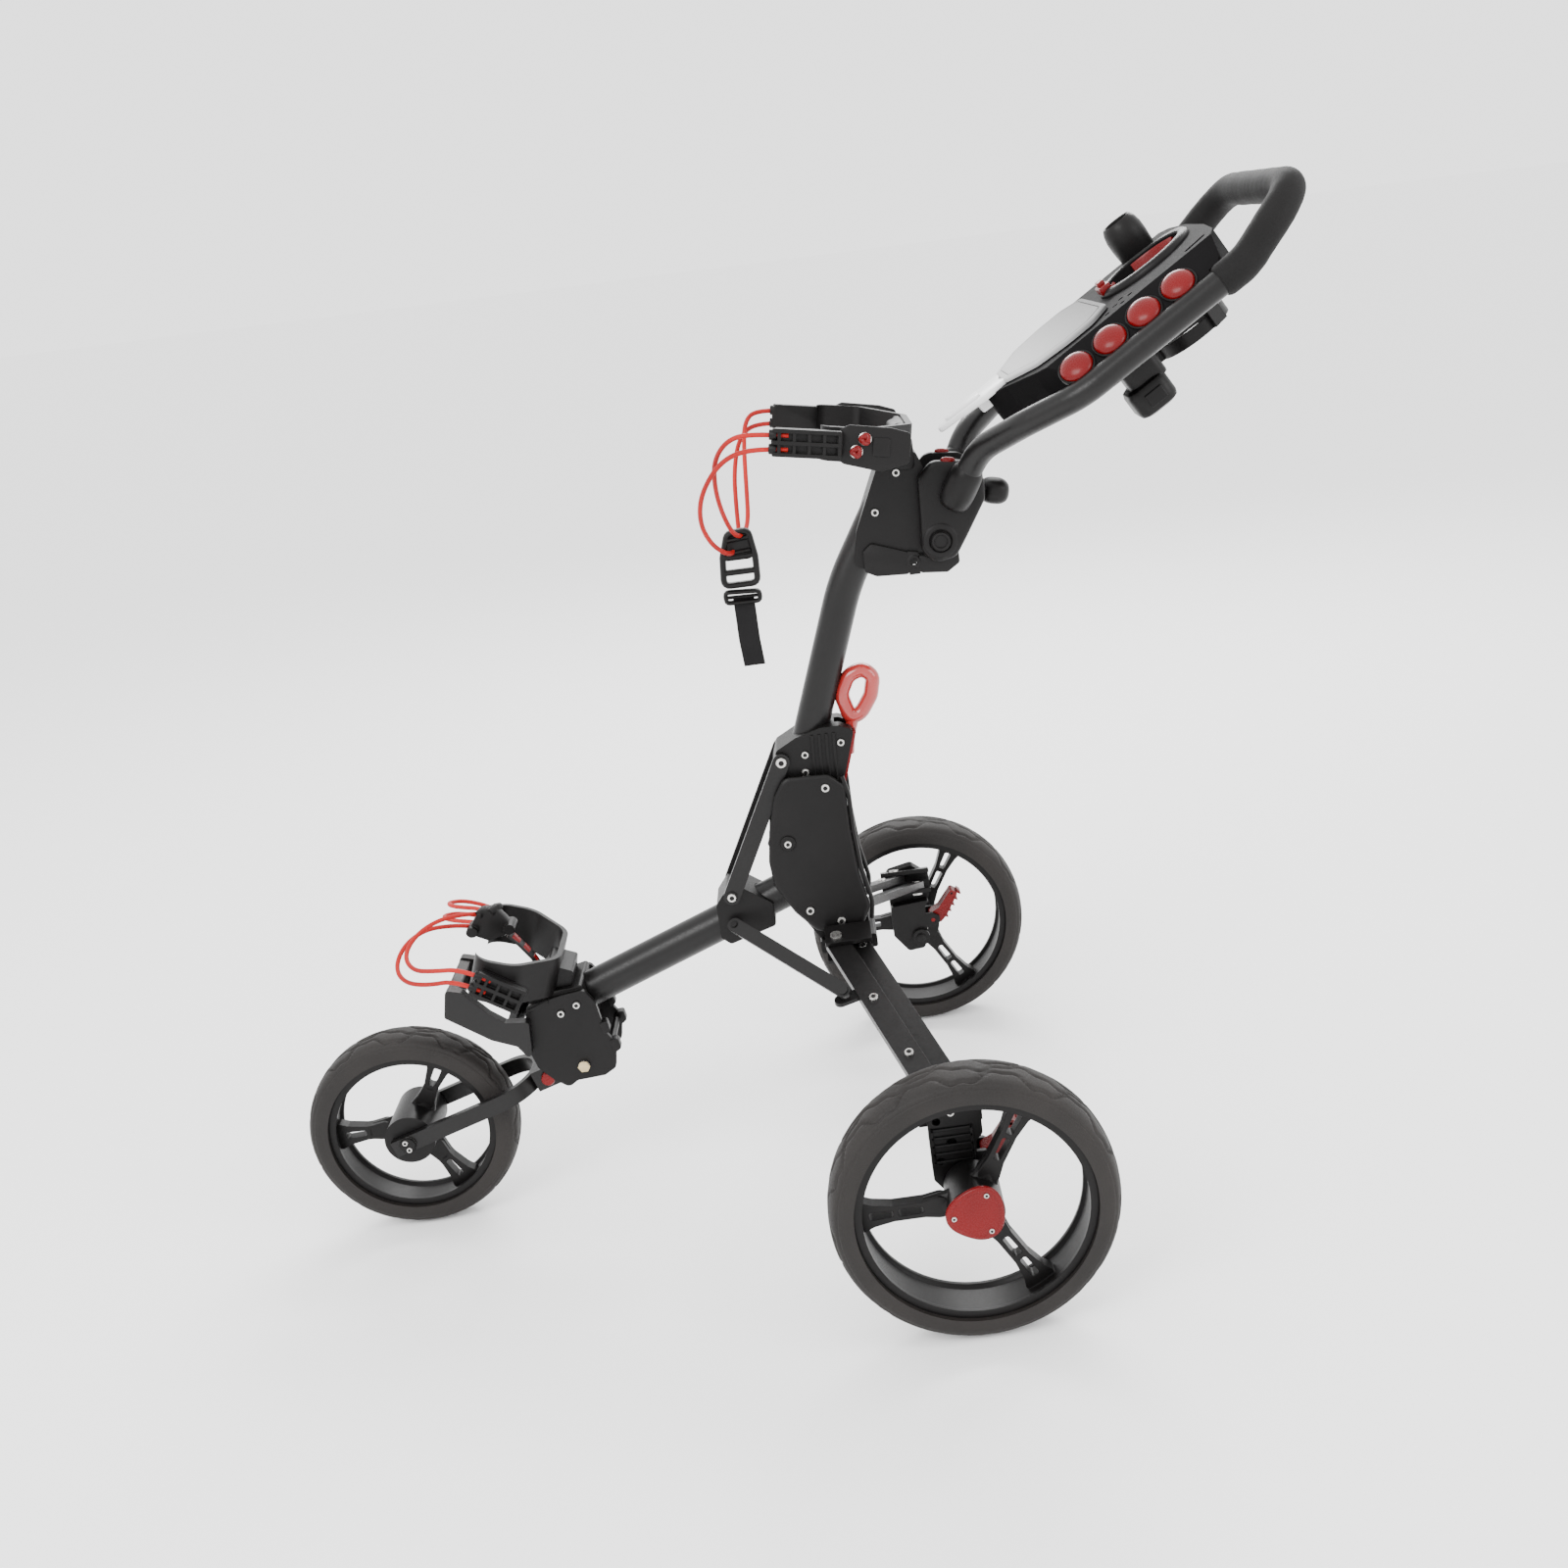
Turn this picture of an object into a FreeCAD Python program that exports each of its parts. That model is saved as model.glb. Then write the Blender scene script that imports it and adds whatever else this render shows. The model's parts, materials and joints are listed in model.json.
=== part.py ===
import FreeCAD, Part
import os
from math import atan2, cos, degrees, pi, radians, sin, sqrt, tan

V = FreeCAD.Vector
os.makedirs("parts", exist_ok=True)

# A three-wheeled golf push cart, unfolded. The script works from the rear axle: x is 0 at the rear
# axle and the cart faces -X, y is 0 on the middle plane with the left side at -Y, z is 0 on the ground.
# save() then moves every piece so that the origin is under the middle of the cart's length.

# ---- driving dimensions, mm ----
OVERALL_FRONT = -750.6
OVERALL_REAR = 447.0
REAR_AXLE_X = -(OVERALL_FRONT + OVERALL_REAR) / 2

REAR_R, REAR_W = 145.0, 59.0
REAR_Y = 357.0
FRONT_R, FRONT_W = 121.6, 51.0
FRONT_X = -629.0
REAR_AXLE_R, FRONT_AXLE_R = 7.5, 6.0
RUN_FIT = 0.05
GAP = 0.3

FRONT_SLOPE = 20.6
FRONT_TUBE = (-225.0, 329.3)
FRONT_TUBE_R = 20.5
WALL = 2.0

FOLD = (-145.0, 425.0)
FOLD_RANGE = 88.0
UPPER_SLOPE = 70.0
UPPER_TUBE_R = 19.0
UPPER_BEND = (-45.0, 700.0)
UPPER_TOP = (13.0, 795.0)

PLATE_IN, PLATE_OUT = 36.0, 42.0
BRACKET_HALF = 26.0
LINK_TOP = (-140.0, 516.0)
LINK_LOW = (-216.6, 366.0)
LINK_W, LINK_T = 19.0, 5.0
BRACE_LOW = (-217.7, 37.0, 334.0)
BRACE_W, BRACE_T = 16.0, 5.0

LEG_TOP = (-92.0, -62.0, 302.0)
LEG_END = (-12.0, -290.0, 226.0)
LEG_FOLDED = 165.0
BAR_SPACING = 27.4
FRONT_BAR_W, REAR_BAR_W, BAR_T = 26.0, 20.0, 9.0
LEG_PIN_R = 5.0

FORK_PIVOT = (-413.6, 187.9)
FORK_RANGE = 148.0
FORK_BASE, FORK_IN, FORK_OUT = 60.0, 40.0, 48.0
STEM_H, ARM_H = 25.0, 19.0

HANDLE_PIVOT = (61.0, 740.0)
HANDLE_TUBE_R = 13.5
HANDLE_HALF = 155.0
GRIP_R = 17.0
GRIP_FROM, GRIP_SPAN = 223.0, 200.0
CONSOLE_ORIGIN = (150.0, 866.0)
CONSOLE_SLOPE = 32.0
RING_AT, RING_R = 200.0, 44.0

CORD_R = 2.5
HOLE_ROOM = 0.8
CORD_LEAD = 34.0
STRAIGHT = 0.01


# ---- helpers ----
def save(node, *shapes):
    """Writes one piece, or a group of like pieces, in the cart's final frame."""
    solids = [solid for shape in shapes for solid in shape.Solids]
    for solid in solids:
        assert solid.isValid() and solid.Volume > 0, node
    whole = solids[0] if len(solids) == 1 else Part.makeCompound(solids)
    whole.translate(V(REAR_AXLE_X, 0, 0))
    whole.exportStep(f"parts/{node}.step")


def joined(*shapes):
    whole = shapes[0].fuse(list(shapes[1:])).removeSplitter()
    assert len(whole.Solids) == 1, len(whole.Solids)
    return whole.Solids[0]


def route(points, largest=1e9):
    """Straight runs through the points, joined by tangent arcs. Returns the edges and the radii."""
    points = [V(*p) for p in points]
    edges, radii, start = [], [], points[0]
    for before, corner, after in zip(points, points[1:], points[2:]):
        back, on = before - corner, after - corner
        shorter = min(back.Length, on.Length)
        back.normalize()
        on.normalize()
        half_turn = (pi - back.getAngle(on)) / 2
        radius = min(0.45 * shorter / tan(half_turn), largest)
        first, last = (corner + way * (radius * tan(half_turn)) for way in (back, on))
        inward = (back + on).normalize()
        middle = corner + inward * (radius / cos(half_turn) - radius)
        edges.append(Part.LineSegment(start, first).toShape())
        edges.append(Part.Arc(first, middle, last).toShape())
        radii.append(radius)
        start = last
    edges.append(Part.LineSegment(start, points[-1]).toShape())
    return edges, radii


def sweep(points, radius, largest=1e9):
    edges, _ = route(points, largest)
    start, on = V(*points[0]), V(*points[1]) - V(*points[0])
    ring = Part.Wire([Part.makeCircle(radius, start, on)])
    return Part.Wire(edges).makePipeShell([ring], True, False).Solids[0]


def outline(points, corner):
    """A closed wire in the XY plane, with its corners rounded as far as its sides allow."""
    points = [V(x, y, 0) for x, y in points]
    count, ends, arcs = len(points), [], []
    for i, at in enumerate(points):
        back, on = points[i - 1] - at, points[(i + 1) % count] - at
        shorter = min(back.Length, on.Length)
        back.normalize()
        on.normalize()
        half_turn = (pi - back.getAngle(on)) / 2
        if half_turn < STRAIGHT:
            arcs.append([])
            ends.append((at, at))
            continue
        radius = min(corner, 0.45 * shorter / tan(half_turn))
        first, last = (at + way * (radius * tan(half_turn)) for way in (back, on))
        middle = at + (back + on).normalize() * (radius / cos(half_turn) - radius)
        arcs.append([Part.Arc(first, middle, last).toShape()])
        ends.append((first, last))
    edges = []
    for i in range(count):
        edges += arcs[i]
        edges.append(Part.LineSegment(ends[i][1], ends[(i + 1) % count][0]).toShape())
    return Part.Wire(edges)


def slab(points, low, high, corner=4.0):
    """An outline in the XY plane as a slab from one height to another."""
    face = Part.Face(outline(points, corner))
    face.translate(V(0, 0, low))
    return face.extrude(V(0, 0, high - low))


def placed(shape, origin, along, normal):
    """Takes a shape from its own axes to an origin, its x along one line and its z along a normal."""
    x, z = V(*along).normalize(), V(*normal).normalize()
    y, at = z.cross(x), V(*origin)
    turn = FreeCAD.Matrix(
        x.x, y.x, z.x, at.x, x.y, y.y, z.y, at.y, x.z, y.z, z.z, at.z, 0, 0, 0, 1
    )
    copy = shape.copy()
    copy.Placement = FreeCAD.Placement(turn).multiply(shape.Placement)
    return copy


def plate(points, low, high, corner=4.0):
    """A side-view outline in x and z, from y = low to y = high."""
    flipped = [(x, -z) for x, z in points]
    return placed(slab(flipped, low, high, corner), (0, 0, 0), (1, 0, 0), (0, 1, 0))


def both(points, low, high, corner=4.0):
    """The same plate on the left and on the right of the middle plane."""
    return [plate(points, low, high, corner), plate(points, -high, -low, corner)]


def pin(x, z, radius, low, high):
    """A cylinder across the cart."""
    return Part.makeCylinder(radius, high - low, V(x, low, z), V(0, 1, 0))


def rod(start, end, radius):
    start, end = V(*start), V(*end)
    return Part.makeCylinder(radius, (end - start).Length, start, end - start)


def mirrored(shape):
    return shape.mirror(V(0, 0, 0), V(0, 1, 0))


def screw(x, z, face, side, head=4.5, shank=2.5):
    """A cap screw whose head sits on a side face, with its shank going in by 8 mm."""
    inner, outer = face - 8, face + 2.4
    parts = [(shank, inner, face + 0.5), (head, face, outer)]
    whole = joined(*[pin(x, z, r, low, high) for r, low, high in parts])
    socket = pin(x, z, head * 0.45, outer - 1.4, outer + 1)
    whole = whole.cut(socket)
    return whole if side > 0 else mirrored(whole)


def stadium(length, width, low, high):
    """A flat bar from x = 0 to x = length, with round ends."""
    box = Part.makeBox(length, width, high - low, V(0, -width / 2, low))
    ends = [Part.makeCylinder(width / 2, high - low, V(x, 0, low)) for x in (0, length)]
    return joined(box, *ends)


def tube_point(along):
    """A point on the front tube's axis, so many mm forward of its reference point."""
    x, z = FRONT_TUBE
    return x - along * cos(radians(FRONT_SLOPE)), z - along * sin(radians(FRONT_SLOPE))


# ---- wheels ----
def revolved(points, x, z):
    """A closed profile of (radius, y) points turned about an axle across the cart."""
    wire = Part.makePolygon([V(r, y, 0) for r, y in points + points[:1]])
    ring = Part.Face(wire).revolve(V(0, 0, 0), V(0, 1, 0), 360)
    ring.translate(V(x, 0, z))
    return ring


def tyre(x, y, z, radius, width):
    """A foam tyre with a crowned tread and shallow grooves either side of the middle."""
    seat, half = radius - 25.0, width / 2
    steps = [(-1.0, 13.0), (-0.94, 6.0), (-0.8, 2.4), (-0.45, 0.6), (0.0, 0.0)]
    crown = [(radius - drop, y + part * half) for part, drop in steps]
    crown += [(radius - drop, y - part * half) for part, drop in reversed(steps[:-1])]
    feet = [(seat, y + half - 5.0), (seat, y - half + 5.0)]
    return revolved(crown + feet, x, z)


SPOKE_ANGLES = (180.0, 60.0, -60.0)
CAP_R = 41.0


def spoke(inner, outer):
    """One spoke along +x in the XY plane: waisted, with two slots and a cross-bar between them."""
    sides = [(inner, 13.0), (inner + 26, 8.5), (outer - 36, 8.5), (outer - 16, 12.0), (outer, 19.0)]
    shape = slab(sides + [(r, -h) for r, h in reversed(sides)], -7.0, 7.0, 10.0)
    for low, high in ((inner + 27, outer - 41), (outer - 36, outer - 12)):
        ends = [(low, 3.6), (high, 4.4), (high, -4.4), (low, -3.6)]
        shape = shape.cut(slab(ends, -8.0, 8.0, 2.5))
    return shape


def rim(x, y, z, tyre_radius, width, hub_radius, hub_low, hub_high, bore):
    """A barrel rim with two lips, three spokes and a bored hub, as one moulding."""
    outer, half = tyre_radius - 25.0 - 0.15, width / 2 - 5.0
    barrel = [(outer, -half), (outer, half), (outer - 8, half), (outer - 8, half - 4)]
    barrel += [(outer - 4.5, half - 8), (outer - 4.5, 8 - half), (outer - 8, 4 - half), (outer - 8, -half)]
    pieces = [revolved([(r, y + across) for r, across in barrel], x, z)]
    pieces.append(pin(x, z, hub_radius, hub_low, hub_high))
    for angle in SPOKE_ANGLES:
        turn = radians(angle)
        arm = spoke(hub_radius - 4, outer - 3)
        pieces.append(placed(arm, (x, y, z), (cos(turn), 0, sin(turn)), (0, -1, 0)))
    return joined(*pieces).cut(pin(x, z, bore, hub_low - 1, hub_high + 1))


def hub_cap():
    """The left rear cap: a rounded triangle with a low dome, over the outer end of the hub."""
    corners = [(CAP_R * cos(radians(a)), CAP_R * sin(radians(a))) for a in (0, 120, 240)]
    base = slab(corners, 0, 3.0, 16.0)
    raised = slab([(x * 0.72, y * 0.72) for x, y in corners], 2.5, 4.0, 11.0)
    cap = placed(joined(base, raised), (0, -REAR_Y - 25.2, REAR_R), (1, 0, 0), (0, -1, 0))
    return cap


def rear_wheel():
    """The left rear wheel's tyre, rim and cap."""
    hub_out = -REAR_Y - 25.0
    return (
        tyre(0, -REAR_Y, REAR_R, REAR_R, REAR_W),
        rim(0, -REAR_Y, REAR_R, REAR_R, REAR_W, 28.0, hub_out, 27.0 - REAR_Y, REAR_AXLE_R + RUN_FIT),
        hub_cap(),
    )


for node, shape in zip(("tyre", "rim", "hub_cap"), rear_wheel()):
    save(f"left_{node}", shape)
    save(f"right_{node}", mirrored(shape))

save("front_tyre", tyre(FRONT_X, 0, FRONT_R, FRONT_R, FRONT_W))
save("front_rim", rim(FRONT_X, 0, FRONT_R, FRONT_R, FRONT_W, 29.0, -38.0, 38.0, FRONT_AXLE_R + RUN_FIT))

# ---- rear legs: a parallelogram on each side, built on the left and mirrored ----
LEG = V(*LEG_END) - V(*LEG_TOP)
LEG_LENGTH = LEG.Length
LEG_ACROSS = V(0, LEG.y, LEG.z).normalize()
LEG_AXIS = V(1, 0, 0).cross(LEG_ACROSS)
LEG_ANGLE = degrees(atan2(sqrt(LEG.y**2 + LEG.z**2), LEG.x))


def in_leg(shape):
    """From the leg's own plane (x along the cart, y out along the leg, z down) to the cart."""
    return placed(shape, LEG_TOP, (1, 0, 0), LEG_AXIS)


def leg_bar(width, start, low, high, lug=None):
    """One flat bar of the leg, bored at both ends."""
    bar = stadium(LEG_LENGTH, width, low, high)
    if lug:
        reach, out = lug
        ear = stadium(out, 14.0, high - 5.0, high)
        bar = joined(bar, placed(ear, (reach, 0, 0), (0, 1, 0), (0, 0, 1)))
    for x in (0, LEG_LENGTH):
        bar = bar.cut(Part.makeCylinder(LEG_PIN_R + RUN_FIT, 40, V(x, 0, -20)))
    bar.rotate(V(0, 0, 0), V(0, 0, 1), LEG_ANGLE)
    bar.translate(V(start, 0, 0))
    return in_leg(bar)


FRONT_BAR_AT, REAR_BAR_AT = -BAR_SPACING / 2, BAR_SPACING / 2
LUG_OUT, LUG_LEVEL = 26.0, -16.0


def leg_point(angle, reach, out, level):
    """A point beside the front bar at a leg angle, in the cart's frame."""
    turn = radians(angle)
    way = V(1, 0, 0) * cos(turn) + LEG_ACROSS * sin(turn)
    side = V(1, 0, 0) * -sin(turn) + LEG_ACROSS * cos(turn)
    pivot = V(*LEG_TOP) + V(FRONT_BAR_AT, 0, 0)
    return pivot + way * reach + side * out + LEG_AXIS * level


# The links and the collar: where the collar is when the upper frame is folded forward.
TUBE_WAY = V(-cos(radians(FRONT_SLOPE)), 0, -sin(radians(FRONT_SLOPE)))


def turned(point, about, angle):
    """A side-view point turned about another, upward from +X for a positive angle."""
    x, z, turn = point[0] - about[0], point[1] - about[1], radians(angle)
    return about[0] + x * cos(turn) - z * sin(turn), about[1] + x * sin(turn) + z * cos(turn)


LINK_LENGTH = sqrt((LINK_TOP[0] - LINK_LOW[0]) ** 2 + (LINK_TOP[1] - LINK_LOW[1]) ** 2)
LINK_TOP_FOLDED = turned(LINK_TOP, FOLD, FOLD_RANGE)
TO_LINK = V(LINK_TOP_FOLDED[0] - LINK_LOW[0], 0, LINK_TOP_FOLDED[1] - LINK_LOW[1])
ALONG_TUBE = TO_LINK.dot(TUBE_WAY)
OFF_TUBE = (TO_LINK - TUBE_WAY * ALONG_TUBE).Length
COLLAR_SLIDE = ALONG_TUBE + sqrt(LINK_LENGTH**2 - OFF_TUBE**2)
LINK_LOW_FOLDED = (LINK_LOW[0] + TUBE_WAY.x * COLLAR_SLIDE, LINK_LOW[1] + TUBE_WAY.z * COLLAR_SLIDE)


def bearing(start, end):
    return degrees(atan2(end[1] - start[1], end[0] - start[0]))


LINK_TURN = bearing(LINK_TOP_FOLDED, LINK_LOW_FOLDED) - bearing(LINK_TOP, LINK_LOW) - FOLD_RANGE

# The brace keeps its length from the unfolded cart to the folded one, which sets how far down the
# leg its lug is.
BRACE_START = V(BRACE_LOW[0], -BRACE_LOW[1], BRACE_LOW[2])
BRACE_START_FOLDED = BRACE_START + TUBE_WAY * COLLAR_SLIDE


def brace_terms(angle, start):
    free = leg_point(angle, 0, LUG_OUT, LUG_LEVEL) - start
    way = leg_point(angle, 1, LUG_OUT, LUG_LEVEL) - leg_point(angle, 0, LUG_OUT, LUG_LEVEL)
    return free, way


REST_FREE, REST_WAY = brace_terms(LEG_ANGLE, BRACE_START)
FOLD_FREE, FOLD_WAY = brace_terms(LEG_FOLDED, BRACE_START_FOLDED)
LUG_REACH = (FOLD_FREE.dot(FOLD_FREE) - REST_FREE.dot(REST_FREE)) / (
    2 * (REST_FREE.dot(REST_WAY) - FOLD_FREE.dot(FOLD_WAY))
)
BRACE_END = leg_point(LEG_ANGLE, LUG_REACH, LUG_OUT, LUG_LEVEL)
BRACE_REST = BRACE_END - BRACE_START
BRACE_FOLDED = leg_point(LEG_FOLDED, LUG_REACH, LUG_OUT, LUG_LEVEL) - BRACE_START_FOLDED
BRACE_AXIS = BRACE_REST.cross(BRACE_FOLDED).normalize()
BRACE_TURN = degrees(BRACE_REST.getAngle(BRACE_FOLDED))
print(f"collar slides {COLLAR_SLIDE:.1f} mm, link turns {LINK_TURN:.1f} degrees")
print(f"brace {BRACE_REST.Length:.1f} mm, turns {BRACE_TURN:.1f} degrees, lug at {LUG_REACH:.1f} mm")

FRONT_BAR = leg_bar(FRONT_BAR_W, FRONT_BAR_AT, -1 - BAR_T, -1, (LUG_REACH, LUG_OUT + 5))
REAR_BAR = leg_bar(REAR_BAR_W, REAR_BAR_AT, 1, 1 + BAR_T)
save("left_front_bar", FRONT_BAR)
save("right_front_bar", mirrored(FRONT_BAR))
save("left_rear_bar", REAR_BAR)
save("right_rear_bar", mirrored(REAR_BAR))

# Braces from the collar to the legs.
BRACE_BAR = stadium(BRACE_REST.Length, BRACE_W, -BRACE_T / 2, BRACE_T / 2)
BRACE_BAR = BRACE_BAR.cut(Part.makeCylinder(4.0 + RUN_FIT, 20, V(0, 0, -10)))
RIVET = Part.makeCylinder(5.5, 2.0, V(BRACE_REST.Length, 0, BRACE_T / 2 - 0.1))
BRACE_BAR = placed(joined(BRACE_BAR, RIVET), BRACE_START, BRACE_REST, BRACE_AXIS)
save("left_brace", BRACE_BAR)
save("right_brace", mirrored(BRACE_BAR))

# Strut links from the fold bracket down to the collar.
LINK_WAY = (LINK_LOW[0] - LINK_TOP[0], 0, LINK_LOW[1] - LINK_TOP[1])
LINK_FACE = BRACKET_HALF + 0.6
LINK = stadium(LINK_LENGTH, LINK_W, 0, LINK_T)
LINK = LINK.cut(Part.makeCylinder(4.0 + RUN_FIT, 20, V(0, 0, -5)))
LINK = joined(LINK, Part.makeCylinder(6.5, 2.0, V(LINK_LENGTH, 0, LINK_T - 0.1)))
LINK = placed(LINK, (LINK_TOP[0], -LINK_FACE, LINK_TOP[1]), LINK_WAY, (0, -1, 0))
save("strut_links", LINK, mirrored(LINK))

# ---- wheel brackets at the leg ends, with axles and brake pedals ----
END_U, END_V = LEG.x, sqrt(LEG.y**2 + LEG.z**2)
SLAB_IN, SLAB_OUT = 10.5, 16.0
BRACKET_FACE = 322.0


def clevis(u, v, way, half, edge_at, web_at):
    """Two slabs over and under the ends of a leg's bars, joined by a web on one side."""
    edge, reach = v + way * edge_at, v - way * 10
    low, high = min(edge, reach), max(edge, reach)
    web_low, web_high = min(v + way * web_at, edge), max(v + way * web_at, edge)
    parts = [Part.makeBox(2 * half, high - low, SLAB_OUT - SLAB_IN, V(u - half, low, SLAB_IN))]
    parts.append(Part.makeBox(2 * half, high - low, SLAB_OUT - SLAB_IN, V(u - half, low, -SLAB_OUT)))
    parts.append(Part.makeBox(2 * half, web_high - web_low, 2 * SLAB_OUT, V(u - half, web_low, -SLAB_OUT)))
    return in_leg(joined(*parts))


def leg_pins(u, v):
    """The two pins of one leg end: the front one from above, the rear one from below."""
    front = Part.makeCylinder(LEG_PIN_R, 16.5, V(u + FRONT_BAR_AT, v, -17.0))
    rear = Part.makeCylinder(LEG_PIN_R, 16.5, V(u + REAR_BAR_AT, v, 0.5))
    heads = [Part.makeCylinder(6.5, 2.5, V(u + FRONT_BAR_AT, v, -18.5))]
    heads.append(Part.makeCylinder(6.5, 2.5, V(u + REAR_BAR_AT, v, 16.0)))
    return [in_leg(joined(front, heads[0])), in_leg(joined(rear, heads[1]))]


PEDAL_PIVOT = (19.0, 166.0)
AXLE_BLOCK = [(-36, 236), (-2, 243), (18, 226), (18, 196), (10, 188), (10, 150), (4, 128), (-18, 126),
              (-36, 150)]
CARRIER = clevis(END_U, END_V, 1, 32, 24, 17)
BLOCK_LOW = [p for p in AXLE_BLOCK if p[1] < 200] + [(-36, 192)]
CARRIER = joined(
    CARRIER,
    plate(AXLE_BLOCK, -BRACKET_FACE, -306.0, 6),
    plate(BLOCK_LOW, -BRACKET_FACE, -292.0, 5),
)
EAR = [(2, 176), (19, 176), (28, 170), (28, 162), (19, 156), (2, 156)]
CARRIER = joined(CARRIER, plate(EAR, -BRACKET_FACE, -317.0, 3), plate(EAR, -297.0, -292.0, 3))
for x, z, r in ((-27, 215, 4), (-27, 170, 4), (-14, 190, 5)):
    CARRIER = CARRIER.cut(pin(x, z, r, -330, -312))
AXLE = joined(
    pin(0, REAR_R, REAR_AXLE_R, -REAR_Y - 24.0, -290.0),
    pin(0, REAR_R, 12.0, -329.4, -BRACKET_FACE),
    pin(0, REAR_R, 11.0, -292.0, -287.0),
)
CARRIER_PINS = leg_pins(END_U, END_V)
CARRIER = CARRIER.cut([AXLE, *CARRIER_PINS, pin(*PEDAL_PIVOT, 3.0 + RUN_FIT, -330, -280)])
save("left_wheel_bracket", CARRIER)
save("right_wheel_bracket", mirrored(CARRIER))
save("left_axle", AXLE, *CARRIER_PINS)
save("right_axle", mirrored(AXLE), *[mirrored(p) for p in CARRIER_PINS])

PEDAL = [(13, 161), (20, 159), (30, 160), (38, 168), (56, 198), (47, 204), (28, 180), (14, 173)]
PEDAL = joined(plate(PEDAL, -316.5, -297.5, 3), pin(*PEDAL_PIVOT, 3.0, -321.5, -292.5))
for x, z in ((40, 190), (45, 183), (50, 189)):
    PEDAL = PEDAL.cut(Part.makeBox(3, 30, 3, V(x + 6, -322, z + 7)))
save("left_brake_pedal", PEDAL)
save("right_brake_pedal", mirrored(PEDAL))

# ---- centre: front tube, housing and its covers ----
TUBE_REAR, TUBE_FRONT = tube_point(-130.0), tube_point(222.0)


def front_tube(radius, rear=TUBE_REAR, front=TUBE_FRONT):
    return rod((rear[0], 0, rear[1]), (front[0], 0, front[1]), radius)


FRAME_PINS = [
    joined(pin(*FOLD, 6.0, -PLATE_OUT - 1, PLATE_OUT + 1),
           *[pin(*FOLD, 7.0, side - 1.2, side + 1.2) for side in (-PLATE_OUT - 1, PLATE_OUT + 1)]),
    joined(pin(*FORK_PIVOT, 5.0, -41, 41),
           *[pin(*FORK_PIVOT, 6.5, side - 1.5, side + 1.5) for side in (-41.6, 41.6)]),
]
for pieces in (leg_pins(0, 0), [mirrored(p) for p in leg_pins(0, 0)]):
    FRAME_PINS += pieces
COVER_SCREWS = ((-95.5, 484.0), (-131.0, 342.0), (-97.6, 325.0))
BRACKET_SCREWS = ((-428.6, 256.5), (-409.5, 264.5))
for side in (-1, 1):
    FRAME_PINS += [screw(x, z, PLATE_OUT, side) for x, z in COVER_SCREWS]
    FRAME_PINS += [screw(x, z, 40.0, side, 4.0, 2.0) for x, z in BRACKET_SCREWS]

COVER = [(-140, 500), (-91, 498), (-74, 484), (-74, 433), (-71, 380), (-63, 337), (-74, 314),
         (-101, 307), (-127, 316), (-148, 341), (-167, 376), (-169, 405), (-164, 440), (-153, 479)]
COVERS = both(COVER, PLATE_IN, PLATE_OUT, 12)
CORE = [(-160, 392), (-78, 392), (-68, 345), (-66, 298), (-120, 298), (-147, 343)]
SPAR = [(-124, 306), (-60, 306), (-60, 290), (-124, 290)]
TOP_CLEVIS = clevis(0, 0, -1, 26, 19, 14)
HOUSING = joined(
    plate(CORE, -PLATE_IN + 0.05, PLATE_IN - 0.05, 6),
    plate([(-110, 392), (-78, 392), (-80, 470), (-94, 470)], -PLATE_IN + 0.05, -28, 3),
    plate([(-110, 392), (-78, 392), (-80, 470), (-94, 470)], 28, PLATE_IN - 0.05, 3),
    plate(SPAR, -48, 48, 3),
    TOP_CLEVIS,
    mirrored(TOP_CLEVIS),
)
HOUSING = HOUSING.cut([front_tube(FRONT_TUBE_R), *COVERS, *FRAME_PINS])
COVERS = [cover.cut(FRAME_PINS) for cover in COVERS]
save("front_tube", front_tube(FRONT_TUBE_R).cut(front_tube(FRONT_TUBE_R - WALL)))
save("housing_core", HOUSING)
save("left_side_cover", COVERS[1])
save("right_side_cover", COVERS[0])

# The collar slides on the front tube and carries the links and the braces.
COLLAR = [(-236, 356), (-222, 374), (-208, 376), (-172, 350), (-172, 323), (-226, 307), (-236, 316)]
STUD_WAY = V(BRACE_AXIS) * (1 if BRACE_AXIS.y < 0 else -1)
STUD = rod(BRACE_START - STUD_WAY * 19, BRACE_START + STUD_WAY * 4, 4.0)
COLLAR = joined(plate(COLLAR, -BRACKET_HALF, BRACKET_HALF, 5), STUD, mirrored(STUD))
COLLAR = COLLAR.cut(front_tube(FRONT_TUBE_R + GAP, tube_point(-100), tube_point(100)))
save("collar", COLLAR)

# ---- front bracket, fork and bag supports ----
BRACKET = [(-472, 244), (-466, 270), (-425, 278), (-399, 281), (-388, 263), (-383, 226), (-373, 209),
           (-378, 180), (-392, 172), (-424, 170), (-435, 163), (-450, 174), (-466, 192), (-471, 210), (-480, 228)]
WEB = [(-470, 240), (-440, 222), (-394, 228), (-395, 250), (-401, 286), (-414, 283), (-459, 281)]
FRONT_BRACKET = joined(
    *both(BRACKET, 33.9, 40, 7),
    plate(WEB, -34, 34, 4),
    pin(-379, 208, 4.0, -34, 34),
)
FRONT_BRACKET = FRONT_BRACKET.cut([front_tube(FRONT_TUBE_R), *FRAME_PINS])
save("front_bracket", FRONT_BRACKET)

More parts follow.
